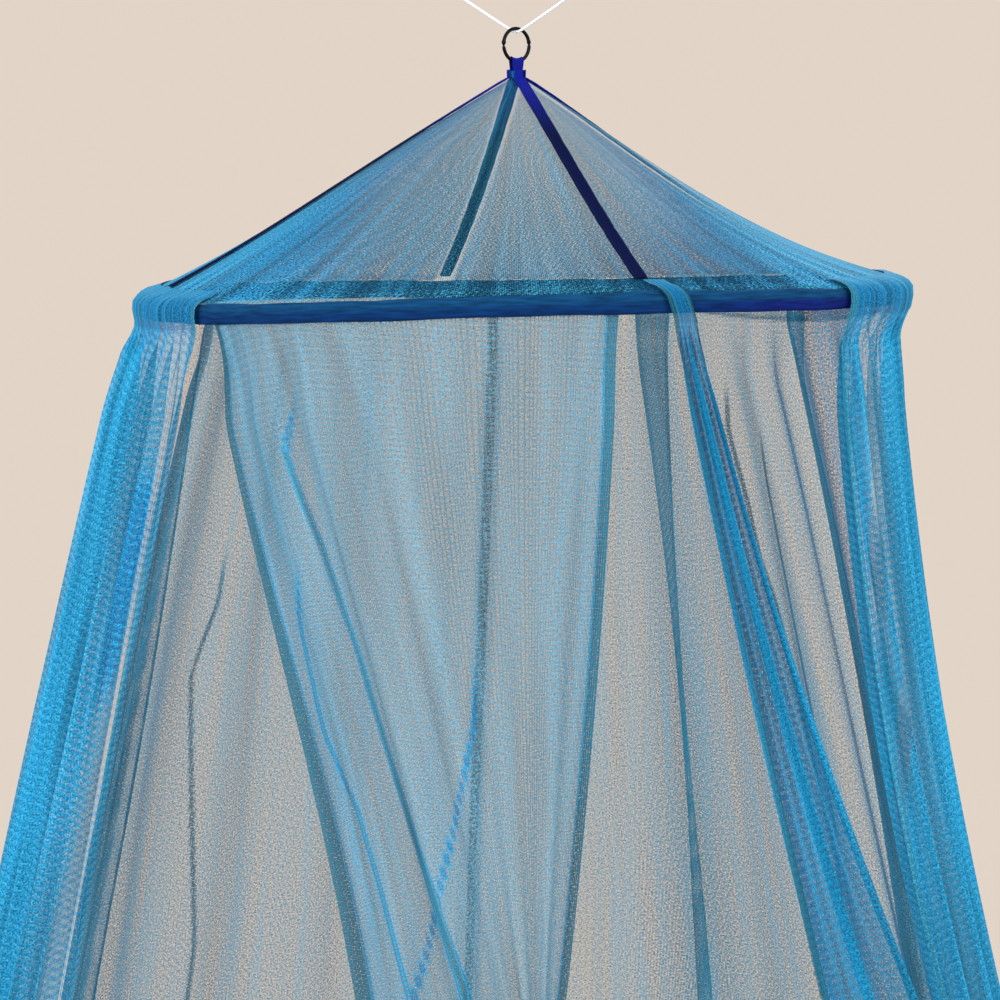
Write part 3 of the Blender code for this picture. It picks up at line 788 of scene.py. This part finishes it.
def skin(name, loops, closed=False):
    """A solid over loops of points, with flat ends unless the last loop meets the first."""
    mesh = bpy.data.meshes.new(name)
    build = bmesh.new()
    loops = [[build.verts.new(point) for point in loop] for loop in loops]
    around = len(loops[0])
    for here, there in zip(loops, loops[1:] + loops[:closed]):
        for step in range(around):
            beside = (step + 1) % around
            face = build.faces.new((here[step], here[beside], there[beside], there[step]))
            face.smooth = True
    for loop in () if closed else (loops[0], loops[-1]):
        build.faces.new(loop)
    bmesh.ops.recalc_face_normals(build, faces=build.faces)
    build.to_mesh(mesh)
    build.free()
    return link_object(name, mesh)


def swept_tube(name, line, radius_at, around=24):
    """A tube along a line; radius_at gives its radius from the distance along and the angle."""
    loops = []
    side = Vector((0.0, 0.0, 1.0))
    for index, (point, travelled) in enumerate(zip(line, running_lengths(line))):
        ahead = line[min(index + 1, len(line) - 1)]
        along = (ahead - line[max(index - 1, 0)]).normalized()
        side = (side - along * side.dot(along)).normalized()
        other = along.cross(side)
        loop = []
        for step in range(around):
            angle = 2.0 * math.pi * step / around
            out = side * math.cos(angle) + other * math.sin(angle)
            loop.append(point + out * radius_at(travelled, angle))
        loops.append(loop)
    return skin(name, loops)


def hanging_cord(paint):
    """Three plies twisted to the right, with the knots that end it."""
    line = cord_line()

    def ply(along, angle):
        twist = angle - 2.0 * math.pi * along / CORD_LAY
        return CORD_RADIUS * (0.88 + 0.12 * math.cos(3.0 * twist))

    cord = swept_tube("hanging_cord_twisted", line, ply)
    fit_piece(cord, "hanging_cord", paint)
    knots = [tied_knot(-1.0, "cord_knot_left", paint), tied_knot(1.0, "cord_knot_right", paint)]
    running_lengths(line)[-1]


def tied_knot(side, node, paint):
    """An overhand knot pulled tight beyond the cord's end."""
    end = cord_point(side * CORD_REACH)
    along = (end - cord_point(side * (CORD_REACH - 0.004))).normalized()
    centre = end + along * (KNOT_RADIUS + GAP)
    across = along.cross(Vector((0.0, 0.0, 1.0))).normalized()
    rise = across.cross(along)
    line = []
    for step in range(91):
        turn = 2.0 * math.pi * step / 90.0
        u = math.sin(turn) + 2.0 * math.sin(2.0 * turn)
        v = math.cos(turn) - 2.0 * math.cos(2.0 * turn)
        w = -1.2 * math.sin(3.0 * turn)
        line.append(centre + (along * w + across * u + rise * v) * KNOT_LOOP)
    knot = swept_tube(node + "_tied", line, lambda travelled, angle: KNOT_STRAND, around=12)
    fit_piece(knot, node, paint)
    return knot


# Ring, loop, hoop, sleeve and tapes
def hanging_ring(paint):
    """Round wire with a small hinge barrel at one side and a closing nick at the other."""
    turn = math.radians(RING_TURN)
    along = Vector((math.cos(turn), math.sin(turn), 0.0))
    level = Vector((0.0, 0.0, 1.0))
    centre = Vector((0.0, 0.0, RING_WIRE_RADIUS - RING_RADIUS))
    across = along.cross(level)
    steps, around = 144, 20
    loops = []
    for step in range(steps):
        angle = 2.0 * math.pi * step / steps
        out = along * math.cos(angle) + level * math.sin(angle)
        wire = RING_WIRE_RADIUS * ring_swell(math.degrees(angle))
        loop = []
        for side in range(around):
            roll = 2.0 * math.pi * side / around
            loop.append(centre + out * (RING_RADIUS + wire * math.cos(roll)) + across * wire * math.sin(roll))
        loops.append(loop)
    fit_piece(skin("hanging_ring_wire", loops, closed=True), "hanging_ring", paint)


def ring_swell(degrees):
    """The wire's thickness round the ring: a narrow nick at the catch, a slight barrel at the hinge."""
    swell = RING_SWELL
    for place, width, power, amount in RING_MARKS:
        swell += amount * math.exp(-(((degrees - place) / width) ** power))
    return swell


def apex_loop(paint):
    turn = math.radians(RING_TURN)
    along = Vector((math.cos(turn), math.sin(turn), 0.0))
    across = Vector((-math.sin(turn), math.cos(turn), 0.0))
    centre_z = RING_WIRE_RADIUS - RING_RADIUS
    leg_steps, saddle_steps, wide = 16, 20, 16

    def wire_z(u):
        return centre_z - math.sqrt(RING_RADIUS**2 - u**2)

    def leg_point(side, share, place):
        width = LOOP_WIDTH + (LOOP_FOOT_WIDTH - LOOP_WIDTH) * share
        spread = LOOP_SADDLE_RADIUS + (LOOP_FOOT_SPREAD - LOOP_SADDLE_RADIUS) * share
        u = place * width / 2.0
        rumple = 0.00018 * math.sin(3.0 * place + 5.0 * share) * math.sin(math.pi * share)
        z = wire_z(u) + (LOOP_FOOT_Z - wire_z(u)) * share
        return along * u + across * (side * (spread + rumple)) + Vector((0.0, 0.0, z))

    def saddle_point(angle, place):
        u = place * LOOP_WIDTH / 2.0
        lift = Vector((0.0, 0.0, wire_z(u) + LOOP_SADDLE_RADIUS * math.sin(angle)))
        return along * u + across * (LOOP_SADDLE_RADIUS * math.cos(angle)) + lift

    places = [-1.0 + 2.0 * step / wide for step in range(wide + 1)]
    grid = [[leg_point(1.0, 1.0 - s / leg_steps, p) for p in places] for s in range(leg_steps)]
    grid += [[saddle_point(math.pi * s / saddle_steps, p) for p in places] for s in range(saddle_steps + 1)]
    grid += [[leg_point(-1.0, s / leg_steps, p) for p in places] for s in range(1, leg_steps + 1)]
    down = running_lengths([row[wide // 2] for row in grid])
    obj = grid_mesh("apex_loop_webbing", grid, uv=lambda row, column: (column * LOOP_WIDTH / wide, down[row]))
    thicken(obj, LOOP_THICKNESS)
    soften(obj, 0.0003)
    fit_piece(obj, "apex_loop", paint)


def soften(obj, width):
    edge = obj.modifiers.new("rounded edge", "BEVEL")
    edge.width = width
    edge.segments = 2
    edge.limit_method = "ANGLE"
    edge.angle_limit = math.radians(50.0)


def running_lengths(line):
    lengths = [0.0]
    for before, after in zip(line, line[1:]):
        lengths.append(lengths[-1] + (after - before).length)
    return lengths


def crown_tapes(paint, thread):
    """Navy tapes laid flat along the seams, a little wavy at their edges, with two rows of stitches."""
    edges = []
    for seam in SEAMS:
        azimuth = seam["azimuth"]
        turn = math.radians(azimuth)
        across = Vector((math.cos(turn), math.sin(turn), 0.0))
        out = Vector((math.sin(turn), -math.cos(turn), 0.0))
        end = BACK_TAPE_END if seam["side"] == "back" else TAPE_END
        shares = [end * (step / 90.0) ** 1.15 for step in range(91)]
        centres, normals = [neck_point(azimuth, TAPE_TOP_Z) + out * TAPE_LIFT], [out]
        for share in shares:
            below, above = crown_point(azimuth, share + 0.01), crown_point(azimuth, max(share - 0.01, 0.0))
            normal = across.cross((below - above).normalized()).normalized()
            if normal.dot(out) < 0.0:
                normal = -normal
            normal = (normal + out * (1.0 - smoothstep(share / 0.03))).normalized()
            centres.append(crown_point(azimuth, share) + normal * TAPE_LIFT)
            normals.append(normal)
        down = running_lengths(centres)
        wide = 12
        grid = []
        for centre, normal, travelled in zip(centres, normals, down):
            row = []
            narrow = (1.0 - TAPE_TOP_SHARE) * (1.0 - smoothstep(travelled / TAPE_TAPER))
            half = TAPE_WIDTH / 2.0 * (1.0 - narrow)
            for step in range(wide + 1):
                place = 2.0 * step / wide - 1.0
                wave = 0.00016 * place * place * math.sin(travelled * 160.0 + place)
                edge_wave = 0.0003 * math.sin(travelled * 71.0 + azimuth) * abs(place)
                spot = centre + across * (place * half + math.copysign(edge_wave, place))
                row.append(spot + normal * abs(wave))
            grid.append(row)
        name = f"tape_{seam['side']}"
        obj = grid_mesh(name + "_woven", grid, uv=lambda row, column: (column * TAPE_WIDTH / wide, down[row]))
        thicken(obj, WEBBING_THICKNESS)
        soften(obj, 0.0002)
        fit_piece(obj, name, paint)
        for side in (-STITCH_SHARE, STITCH_SHARE):
            inset = across * side * TAPE_WIDTH / 2.0
            edges.append([c + inset + n * STITCH_LIFT for c, n in zip(centres[2:], normals[2:])])
    stitches("tape_stitches", edges, STITCH_PITCH, STITCH_LENGTH, STITCH_RADIUS, thread)


def stitches(name, lines, pitch, length, radius, paint):
    """Small thread bars set along each line by a node tree, then made a plain mesh."""
    mesh = bpy.data.meshes.new(name + "_lines")
    points, joins = [], []
    for line in lines:
        first = len(points)
        points += [tuple(point) for point in line]
        joins += [(first + step, first + step + 1) for step in range(len(line) - 1)]
    mesh.from_pydata(points, joins, [])
    guide = link_object(name + "_lines", mesh)
    tree = bpy.data.node_groups.new("stitch row", "GeometryNodeTree")
    sockets = {}
    for title in ("Geometry", "Pitch", "Length", "Thread", "Paint"):
        kind = {"Geometry": "Geometry", "Paint": "Material"}.get(title, "Float")
        sockets[title] = tree.interface.new_socket(title, in_out="INPUT", socket_type="NodeSocket" + kind)
    tree.interface.new_socket("Geometry", in_out="OUTPUT", socket_type="NodeSocketGeometry")
    add = tree.nodes.new
    asked, given = add("NodeGroupInput").outputs, add("NodeGroupOutput").inputs
    curve, even = add("GeometryNodeMeshToCurve"), add("GeometryNodeResampleCurve")
    even.mode = "LENGTH"
    bar = add("GeometryNodeMeshCylinder")
    bar.inputs["Vertices"].default_value = 6
    tangent, align = add("GeometryNodeInputTangent"), add("FunctionNodeAlignRotationToVector")
    align.axis = "Z"
    place = add("GeometryNodeInstanceOnPoints")
    real, dress = add("GeometryNodeRealizeInstances"), add("GeometryNodeSetMaterial")
    for source, socket in (
        (asked["Geometry"], curve.inputs[0]),
        (curve.outputs[0], even.inputs["Curve"]),
        (asked["Pitch"], even.inputs["Length"]),
        (asked["Thread"], bar.inputs["Radius"]),
        (asked["Length"], bar.inputs["Depth"]),
        (even.outputs[0], place.inputs["Points"]),
        (bar.outputs["Mesh"], place.inputs["Instance"]),
        (tangent.outputs[0], align.inputs["Vector"]),
        (align.outputs[0], place.inputs["Rotation"]),
        (place.outputs[0], real.inputs[0]),
        (real.outputs[0], dress.inputs["Geometry"]),
        (asked["Paint"], dress.inputs["Material"]),
        (dress.outputs[0], given[0]),
    ):
        tree.links.new(source, socket)
    row = guide.modifiers.new("stitches", "NODES")
    row.node_group = tree
    for title, value in (("Pitch", pitch), ("Length", length), ("Thread", radius), ("Paint", paint)):
        row[sockets[title].identifier] = value
    graph = bpy.context.evaluated_depsgraph_get()
    sewn = bpy.data.meshes.new_from_object(guide.evaluated_get(graph))
    bpy.data.objects.remove(guide, do_unlink=True)
    obj = link_object(name, sewn)
    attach(obj, "root")


def sleeve_lump(azimuth):
    """Where the nets' tapes and hems are sewn in, the sleeve's top stands up a little."""
    return sum(high * math.exp(-(((azimuth - place) / wide) ** 2)) for place, high, wide in SLEEVE_LUMPS)


def hoop_sleeve(paint):
    """Webbing folded over the hoop, puckered where the nets are sewn to it."""
    profile = [(-SLEEVE_MOUTH, -SLEEVE_DEPTH), (-SLEEVE_RADIUS * 0.96, -0.0052)]
    for step in range(13):
        angle = math.pi * (1.0 - step / 12.0)
        profile.append((SLEEVE_RADIUS * math.cos(angle), SLEEVE_RADIUS * math.sin(angle)))
    profile += [(SLEEVE_RADIUS * 0.96, -0.0052), (SLEEVE_RADIUS * 0.84, -0.008)]
    profile.append((SLEEVE_MOUTH, -SLEEVE_DEPTH))
    steps = 720
    turns = [360.0 * step / steps for step in range(steps)]
    grid = []
    for out, up in profile:
        row = []
        low = smoothstep(-up / SLEEVE_DEPTH)
        high = smoothstep(up / SLEEVE_RADIUS)
        for azimuth in turns:
            turn = math.radians(azimuth)
            pucker = 0.00030 * math.sin(109.0 * turn) * math.sin(7.0 * turn + 1.0)
            pucker += 0.00022 * math.sin(61.0 * turn + 1.0)
            droop = 0.0004 * low * math.sin(17.0 * turn + 0.7) * math.sin(5.0 * turn)
            rise = high * (sleeve_lump(azimuth) + 0.0004 * math.sin(29.0 * turn) * math.sin(6.0 * turn))
            side = 1.0 if out > 0.0 else -1.0
            radius = HOOP_RADIUS + out + side * pucker * low
            row.append(round_point(azimuth, radius, HOOP_Z + up + droop + rise))
        grid.append(row)
    down = running_lengths([row[0] for row in grid])
    around = 2.0 * math.pi * HOOP_RADIUS
    obj = grid_mesh(
        "hoop_sleeve_webbing", grid, closed=True, uv=lambda row, column: (down[row], around * column / steps)
    )
    thicken(obj, WEBBING_THICKNESS)
    fit_piece(obj, "hoop_sleeve", paint)


# Crown
def crown_gores(paint):
    wide = CROWN_COLUMNS
    shares = [(step / 64.0) ** 1.25 for step in range(65)]
    for index, first in enumerate(SEAMS):
        second = SEAMS[(index + 1) % len(SEAMS)]
        start = first["azimuth"]
        span = (second["azimuth"] - start) % 360.0
        tone = CROWN_TONES[first["side"]]
        cover = CROWN_COVER[first["side"]]

        def turned(radius):
            edge = math.degrees(GAP / radius)
            return [start + edge + (span - 2.0 * edge) * column / wide for column in range(wide + 1)]

        grid, gather, tones = [], [], []
        for step in range(6):
            z = NECK_TOP_Z + (NECK_FOOT_Z - NECK_TOP_Z) * step / 6.0
            turns = enumerate(turned(NECK_RADIUS))
            grid.append([neck_point(azimuth, z, gore_pleat(column)) for column, azimuth in turns])
            gather.append([0.75] * (wide + 1))
            tones.append([0.6] * (wide + 1))
        for share in shares:
            radius = NECK_RADIUS + (HOOP_RADIUS - NECK_RADIUS) * share
            row, dense, shades = [], [], []
            for column, azimuth in enumerate(turned(radius)):
                low_wave = smoothstep((share - 0.72) / 0.28) * (1.0 - smoothstep((share - 0.97) / 0.03))
                low_wave *= math.sin(azimuth * 1.1) * math.sin(azimuth * 0.37 + 1.0)
                crease = gore_pleat(column) * math.exp(-share / 0.05) + 0.0009 * low_wave
                row.append(crown_point(azimuth, share) + Vector((0.0, 0.0, crease)))
                to_seam = min(column, wide - column) / wide * math.radians(span) * radius
                under = math.exp(-((to_seam / TAPE_SHADE_REACH) ** 6))
                side = abs(math.sin(math.radians(azimuth))) ** 5 * smoothstep((share - 0.35) / 0.5)
                value = cover + 0.55 * math.exp(-share / 0.022) - 0.12 * math.exp(-share / 0.20)
                value += 0.25 * smoothstep((share - 0.965) / 0.035)
                dense.append(min(0.9, value * (1.0 - TAPE_SHADE * under) + CROWN_SIDE_COVER * side))
                shades.append(tone + (CROWN_SIDE_TONE - tone) * side)
            grid.append(row)
            gather.append(dense)
            tones.append(shades)
        foot_z = HOOP_Z + CROWN_FOOT
        grid.append([round_point(azimuth, HOOP_RADIUS, foot_z) for azimuth in turned(HOOP_RADIUS)])
        gather.append(gather[-1])
        tones.append(tones[-1])
        down = running_lengths([row[wide // 2] for row in grid])
        name = f"crown_{first['side']}_{second['side']}"
        obj = grid_mesh(
            name + "_net",
            grid,
            uv=lambda row, column: (math.radians(span) * CROWN_MEAN_RADIUS * column / wide, down[row]),
            values={"gather": gather, "tone": tones, "ribs": [[CROWN_RIBS] * (wide + 1)] * len(grid)},
        )
        fit_piece(obj, name, paint)


def gore_pleat(column):
    return CROWN_PLEAT * math.sin(2.0 * math.pi * column * 7.0 / CROWN_COLUMNS)


# Walls
def wall_radius(azimuth, drop):
    """The walls spread evenly at the front and back; the left one more, the right one late."""
    turn = math.radians(azimuth)
    left = LEFT_RADIUS + 0.235 * drop - 0.010 * drop**2
    right = RIGHT_RADIUS + 0.07 * max(0.0, drop - 0.08) + 0.15 * min(drop, SEEN_DROP) ** 2
    right += 0.10 * max(0.0, drop - SEEN_DROP)
    front = FRONT_RADIUS + 0.17 * drop
    side = left if math.sin(turn) < 0.0 else right
    weight = math.sin(turn) ** 2
    return side * weight + front * (1.0 - weight)


def fold_azimuth(fold, drop):
    t = min(max(drop, 0.0), SHOWN_DROP) / SHOWN_DROP
    top, mid, low = fold["top"], fold["mid"], fold["low"]
    bend = 2.0 * (top - 2.0 * mid + low)
    azimuth = top + (low - top - bend) * t + bend * t**2
    if drop > SHOWN_DROP:
        slope = (low - top - bend) + 2.0 * bend
        past = (drop - SHOWN_DROP) / SHOWN_DROP
        length = DRIFT_LENGTH / SHOWN_DROP
        azimuth += slope * length * (1.0 - math.exp(-past / length))
    return azimuth


def wall_columns(folds, drop):
    """For every column: azimuth, main fold's depth, fine pleat's wave and gather."""
    rows = [dict(zip(FOLD_COLUMNS, row)) for row in folds]
    columns = []
    for index, (fold, following) in enumerate(zip(rows, rows[1:])):
        here, there = fold_azimuth(fold, drop), fold_azimuth(following, drop)
        for step in range(COLUMNS_PER_FOLD):
            t = step / COLUMNS_PER_FOLD
            eased = 0.5 - 0.5 * math.cos(math.pi * t)
            ripple = math.sin(2.0 * math.pi * (fold["pleats"] + 1) * t + index * 1.7 + drop * 9.0)
            wave = math.sin(2.0 * math.pi * fold["pleats"] * t) + 0.5 * ripple * math.sin(math.pi * t)
            columns.append(
                (
                    here + (there - here) * t,
                    fold["out"] + (following["out"] - fold["out"]) * eased,
                    wave if fold["pleats"] else 0.3 * wave,
                    fold["gather"] + (following["gather"] - fold["gather"]) * t,
                )
            )
    last = rows[-1]
    columns.append((fold_azimuth(last, drop), last["out"], 0.0, last["gather"]))
    return columns


def hanging_row(wall, drop):
    grow = smoothstep(drop / PLEAT_FADE) * (1.0 + PLEAT_GROWTH * drop)
    fine = FINE_PLEAT + (FINE_PLEAT_LOW - FINE_PLEAT) * smoothstep(drop / SEEN_DROP)
    fine *= smoothstep(drop / FINE_FADE)
    settle = smoothstep(drop / (FINE_FADE if wall["outer"] else PLEAT_FADE))
    row, dense, shade_marks = [], [], []
    for azimuth, out, wave, gather in wall_columns(wall["folds"], drop):
        hung = wall_radius(azimuth, max(drop, 0.0)) + wall["set_out"]
        held = HEADING[-1]["out"] if wall["outer"] else wall["mouth"]
        radius = (HOOP_RADIUS + held) * (1.0 - settle) + hung * settle
        crease = crease_at(wall, drop, azimuth, radius)
        lift = CREASE_LIFT * max(crease, 0.0)
        row.append(round_point(azimuth, radius + out * grow + wave * fine + lift, WALL_TOP_Z - drop))
        dense.append(max(gather + crease, 0.03))
        shade_marks.append(max(crease, 0.0))
    return row, dense, shade_marks


def heading_rows(wall):
    """From the crown's edge over the sleeve."""
    rows, dense = [], []
    share = 1.0 + HEADING_START / (HOOP_RADIUS - NECK_RADIUS)
    turn = wall["start_turn"]
    first = wall_columns(wall["folds"], 0.0)
    rows.append([crown_point(c[0] + turn, share) + Vector((0.0, 0.0, HEADING_RISE)) for c in first])
    dense.append([max(c[3], HEADING_COVER) for c in first])
    for place in HEADING:
        drop = max(0.0, -place["up"] - SLEEVE_DEPTH)
        columns = wall_columns(wall["folds"], drop)
        row = []
        for c in columns:
            azimuth = c[0] + turn * place["turn"]
            rumple = heading_rumple(azimuth) * smoothstep((place["up"] + 0.004) / 0.008)
            radius = HOOP_RADIUS + place["out"] + 0.0006 * c[2]
            row.append(round_point(azimuth, radius, HOOP_Z + place["up"] + rumple))
        rows.append(row)
        covered = smoothstep((place["up"] + 0.016) / 0.012)
        dense.append([c[3] + (max(c[3], HEADING_COVER) - c[3]) * covered for c in columns])
    return rows, dense


def heading_rumple(azimuth):
    """The net laid over the sleeve stands up in small uneven tucks."""
    turn = math.radians(azimuth)
    return 0.0005 * math.sin(23.0 * turn) + 0.0006 * math.sin(41.0 * turn + 1.0) * math.sin(9.0 * turn)


def crease_at(wall, drop, azimuth, radius):
    """How strongly a crease marks the net here: the mark makes the net denser and paints it darker, painted
    shade in creases and in the tucked strip under the sleeve; a thin place counts below nothing.
    """
    mark, thin = 0.0, 0.0
    for crease in CREASES:
        line = crease["line"]
        start, stop = line[0][0], line[-1][0]
        if crease["wall"] != wall["name"] or not start - CREASE_FADE < drop < stop + CREASE_FADE:
            continue
        middle = line[0][1] if drop <= start else line[-1][1]
        for (first, here), (second, there) in zip(line, line[1:]):
            if first <= drop <= second:
                middle = here + (there - here) * (drop - first) / (second - first)
        share = smoothstep((drop - start) / (stop - start))
        half_width = crease["widths"][0] + (crease["widths"][1] - crease["widths"][0]) * share
        away = math.radians(azimuth - middle) * radius / half_width
        fade = smoothstep((drop - start + CREASE_FADE) / CREASE_FADE)
        fade *= smoothstep((stop + CREASE_FADE - drop) / CREASE_FADE)
        value = crease["strength"] * fade * math.exp(-(away**4))
        mark, thin = max(mark, value), min(thin, value)
    if wall["name"] in ("wall_right", "wall_back_right") and TUCK_SPAN[0] < azimuth < TUCK_SPAN[1]:
        along = (azimuth - TUCK_SPAN[0]) / (TUCK_SPAN[1] - TUCK_SPAN[0])
        edge = TUCK_DROP + TUCK_SAG * math.sin(math.pi * along)
        mark = max(mark, TUCK_EDGE_COVER * math.exp(-(((drop - edge) / TUCK_EDGE_WIDTH) ** 2)))
        if drop < edge:
            mark = max(mark, TUCK_COVER)
    return mark + thin


def wall_drops(outer):
    """Rows lie close together near the sleeve and further apart below the stretch that shows."""
    start = OUTER_TOP_DROP if outer else INNER_TOP_DROP
    drops = []
    for first, last, rows in (
        (start, NEAR_DROP, 20),
        (NEAR_DROP, BAND_DROP, 8),
        (BAND_DROP, SEEN_DROP, 60),
        (SEEN_DROP, WALL_DROP, 36),
    ):
        drops += [first + (last - first) * step / rows for step in range(rows)]
    return drops + [WALL_DROP]


def hem_and_tone(wall, grid, gather, shade_marks, drops):
    """The cloth is doubled along its side hems and its bottom hem, which take the wall's hem tone, darker on
    the front walls; creases and the tucked strip are painted darker, painted shade.
    """
    last = len(grid) - 1
    tones = []
    left_top, left_low, right_top, right_low = wall["hems"]
    for index, row in enumerate(grid):
        lengths = running_lengths(row)
        share = smoothstep(drops[index] / SHOWN_DROP)
        left = left_top + (left_low - left_top) * share
        right = right_top + (right_low - right_top) * share
        low = smoothstep(index - last + 1.2)
        shades = []
        for column, travelled in enumerate(lengths):
            sewn = 1.0 - smoothstep((travelled / left - 0.8) / 0.4)
            sewn = max(sewn, low, 1.0 - smoothstep(((lengths[-1] - travelled) / right - 0.8) / 0.4))
            plain = wall["tone"] - wall["fall"] * max(0.0, gather[index][column] - TONE_FALL_START)
            if wall["outer"]:
                plain += (HEADING_TONE - plain) * (1.0 - smoothstep(drops[index] / 0.04))
            gather[index][column] = min(0.93, gather[index][column] + HEM_GATHER * sewn)
            toned = plain + (wall["hem_tone"] - plain) * sewn
            # Creases and the tucked strip are painted towards the crease tone: painted shade
            shades.append(toned + (CREASE_SHADE_TONE - toned) * min(1.0, 1.3 * shade_marks[index][column]))
        tones.append(shades)
    return tones


def rib_shares(wall, drops):
    """The ribs show on the gathered sides and fade towards the back and above the sleeve."""
    table = []
    for drop in drops:
        seen = smoothstep(drop / 0.01)
        columns = wall_columns(wall["folds"], drop)
        table.append([wall["ribs"] * seen * (1.0 - smoothstep((abs(c[0]) - 92.0) / 10.0)) for c in columns])
    return table


def net_walls(paint):
    for wall in WALLS:
        grid, gather = heading_rows(wall) if wall["outer"] else ([], [])
        shade_marks = [[0.0] * len(row) for row in grid]
        drops = [0.0] * len(grid) + wall_drops(wall["outer"])
        for drop in wall_drops(wall["outer"]):
            row, dense, row_shade_marks = hanging_row(wall, drop)
            grid.append(row)
            gather.append(dense)
            shade_marks.append(row_shade_marks)
        tones = hem_and_tone(wall, grid, gather, shade_marks, drops)
        middle = running_lengths(hanging_row(wall, 0.45)[0])
        down = running_lengths([row[len(row) // 2] for row in grid])
        obj = grid_mesh(
            wall["name"] + "_net",
            grid,
            uv=lambda row, column: (middle[column], down[row]),
            values={"gather": gather, "tone": tones, "ribs": rib_shares(wall, drops)},
        )
        fit_piece(obj, wall["name"], paint)
        area = sum(polygon.area for polygon in obj.data.polygons)
        low_width = running_lengths(grid[-1])[-1]
        width = round(max(low_width, middle[-1]), 2)
        length = round(down[-1], 2)
        area = round(min(area, width * length), 3)


# Floor, light and backdrop
def stage():
    low = min(corner[2] for corner in solid_box) - FLOOR_GAP
    bpy.ops.mesh.primitive_circle_add(
        vertices=96, radius=FLOOR_RADIUS, fill_type="NGON", location=(0.0, 0.0, low)
    )
    floor = bpy.context.object
    floor.name = "floor"
    paint, _, shader = new_paint("pale floor", 0.8)
    shader.inputs["Base Color"].default_value = (0.74, 0.70, 0.66, 1.0)
    wear(floor, paint)
    world = bpy.data.worlds.new("studio")
    bpy.context.scene.world = world
    world.use_nodes = True
    make = Nodes(world.node_tree)
    back = world.node_tree.nodes["Background"]
    seen = make.add("ShaderNodeLightPath").outputs["Is Camera Ray"]
    make.feed(back.inputs["Color"], make.mix_colour(seen, STUDIO_LIGHT, BACKDROP))
    back.inputs["Strength"].default_value = 1.0
    for row in LAMPS:
        lit = dict(zip(LAMP_COLUMNS, row))
        lamp = bpy.data.lights.new(lit["name"], "AREA")
        lamp.size = lit["size"]
        lamp.energy = lit["power"]
        lamp.color = lit["colour"]
        aim(link_object(lit["name"], lamp), lit["place"], (0.0, 0.0, -0.4))


def main():
    place_camera()
    threads = net_threads_group()
    weave = weave_group()
    ribs = ribs_group()
    net = net_paint("blue net", threads, ribs, slant=0.35, spacing=0.0068, edge=0.45)
    crown_net = net_paint("blue crown net", threads, ribs, slant=2.6, spacing=0.0085, edge=0.50)
    navy = tape_paint("navy tape", weave, (0.0015, 0.004, 0.028), (0.003, 0.007, 0.048), (0.008, 0.012, 0.22))
    royal = tape_paint("navy loop", weave, (0.005, 0.008, 0.16), (0.012, 0.020, 0.27))
    thread = tape_paint("navy thread", weave, (0.004, 0.010, 0.06), (0.012, 0.030, 0.12))
    hanging_cord(cord_paint())
    hanging_ring(ring_paint())
    apex_loop(royal)
    crown_gores(crown_net)
    crown_tapes(navy, thread)
    hoop_sleeve(sleeve_paint(weave))
    wear(bpy.data.objects["hoop"], wire_paint())
    net_walls(net)
    stage()
    scene = bpy.context.scene
    scene.view_settings.view_transform = "Standard"
    scene.cycles.transparent_max_bounces = 64
    scene.cycles.max_bounces = 4
    scene.cycles.diffuse_bounces = 2


main()
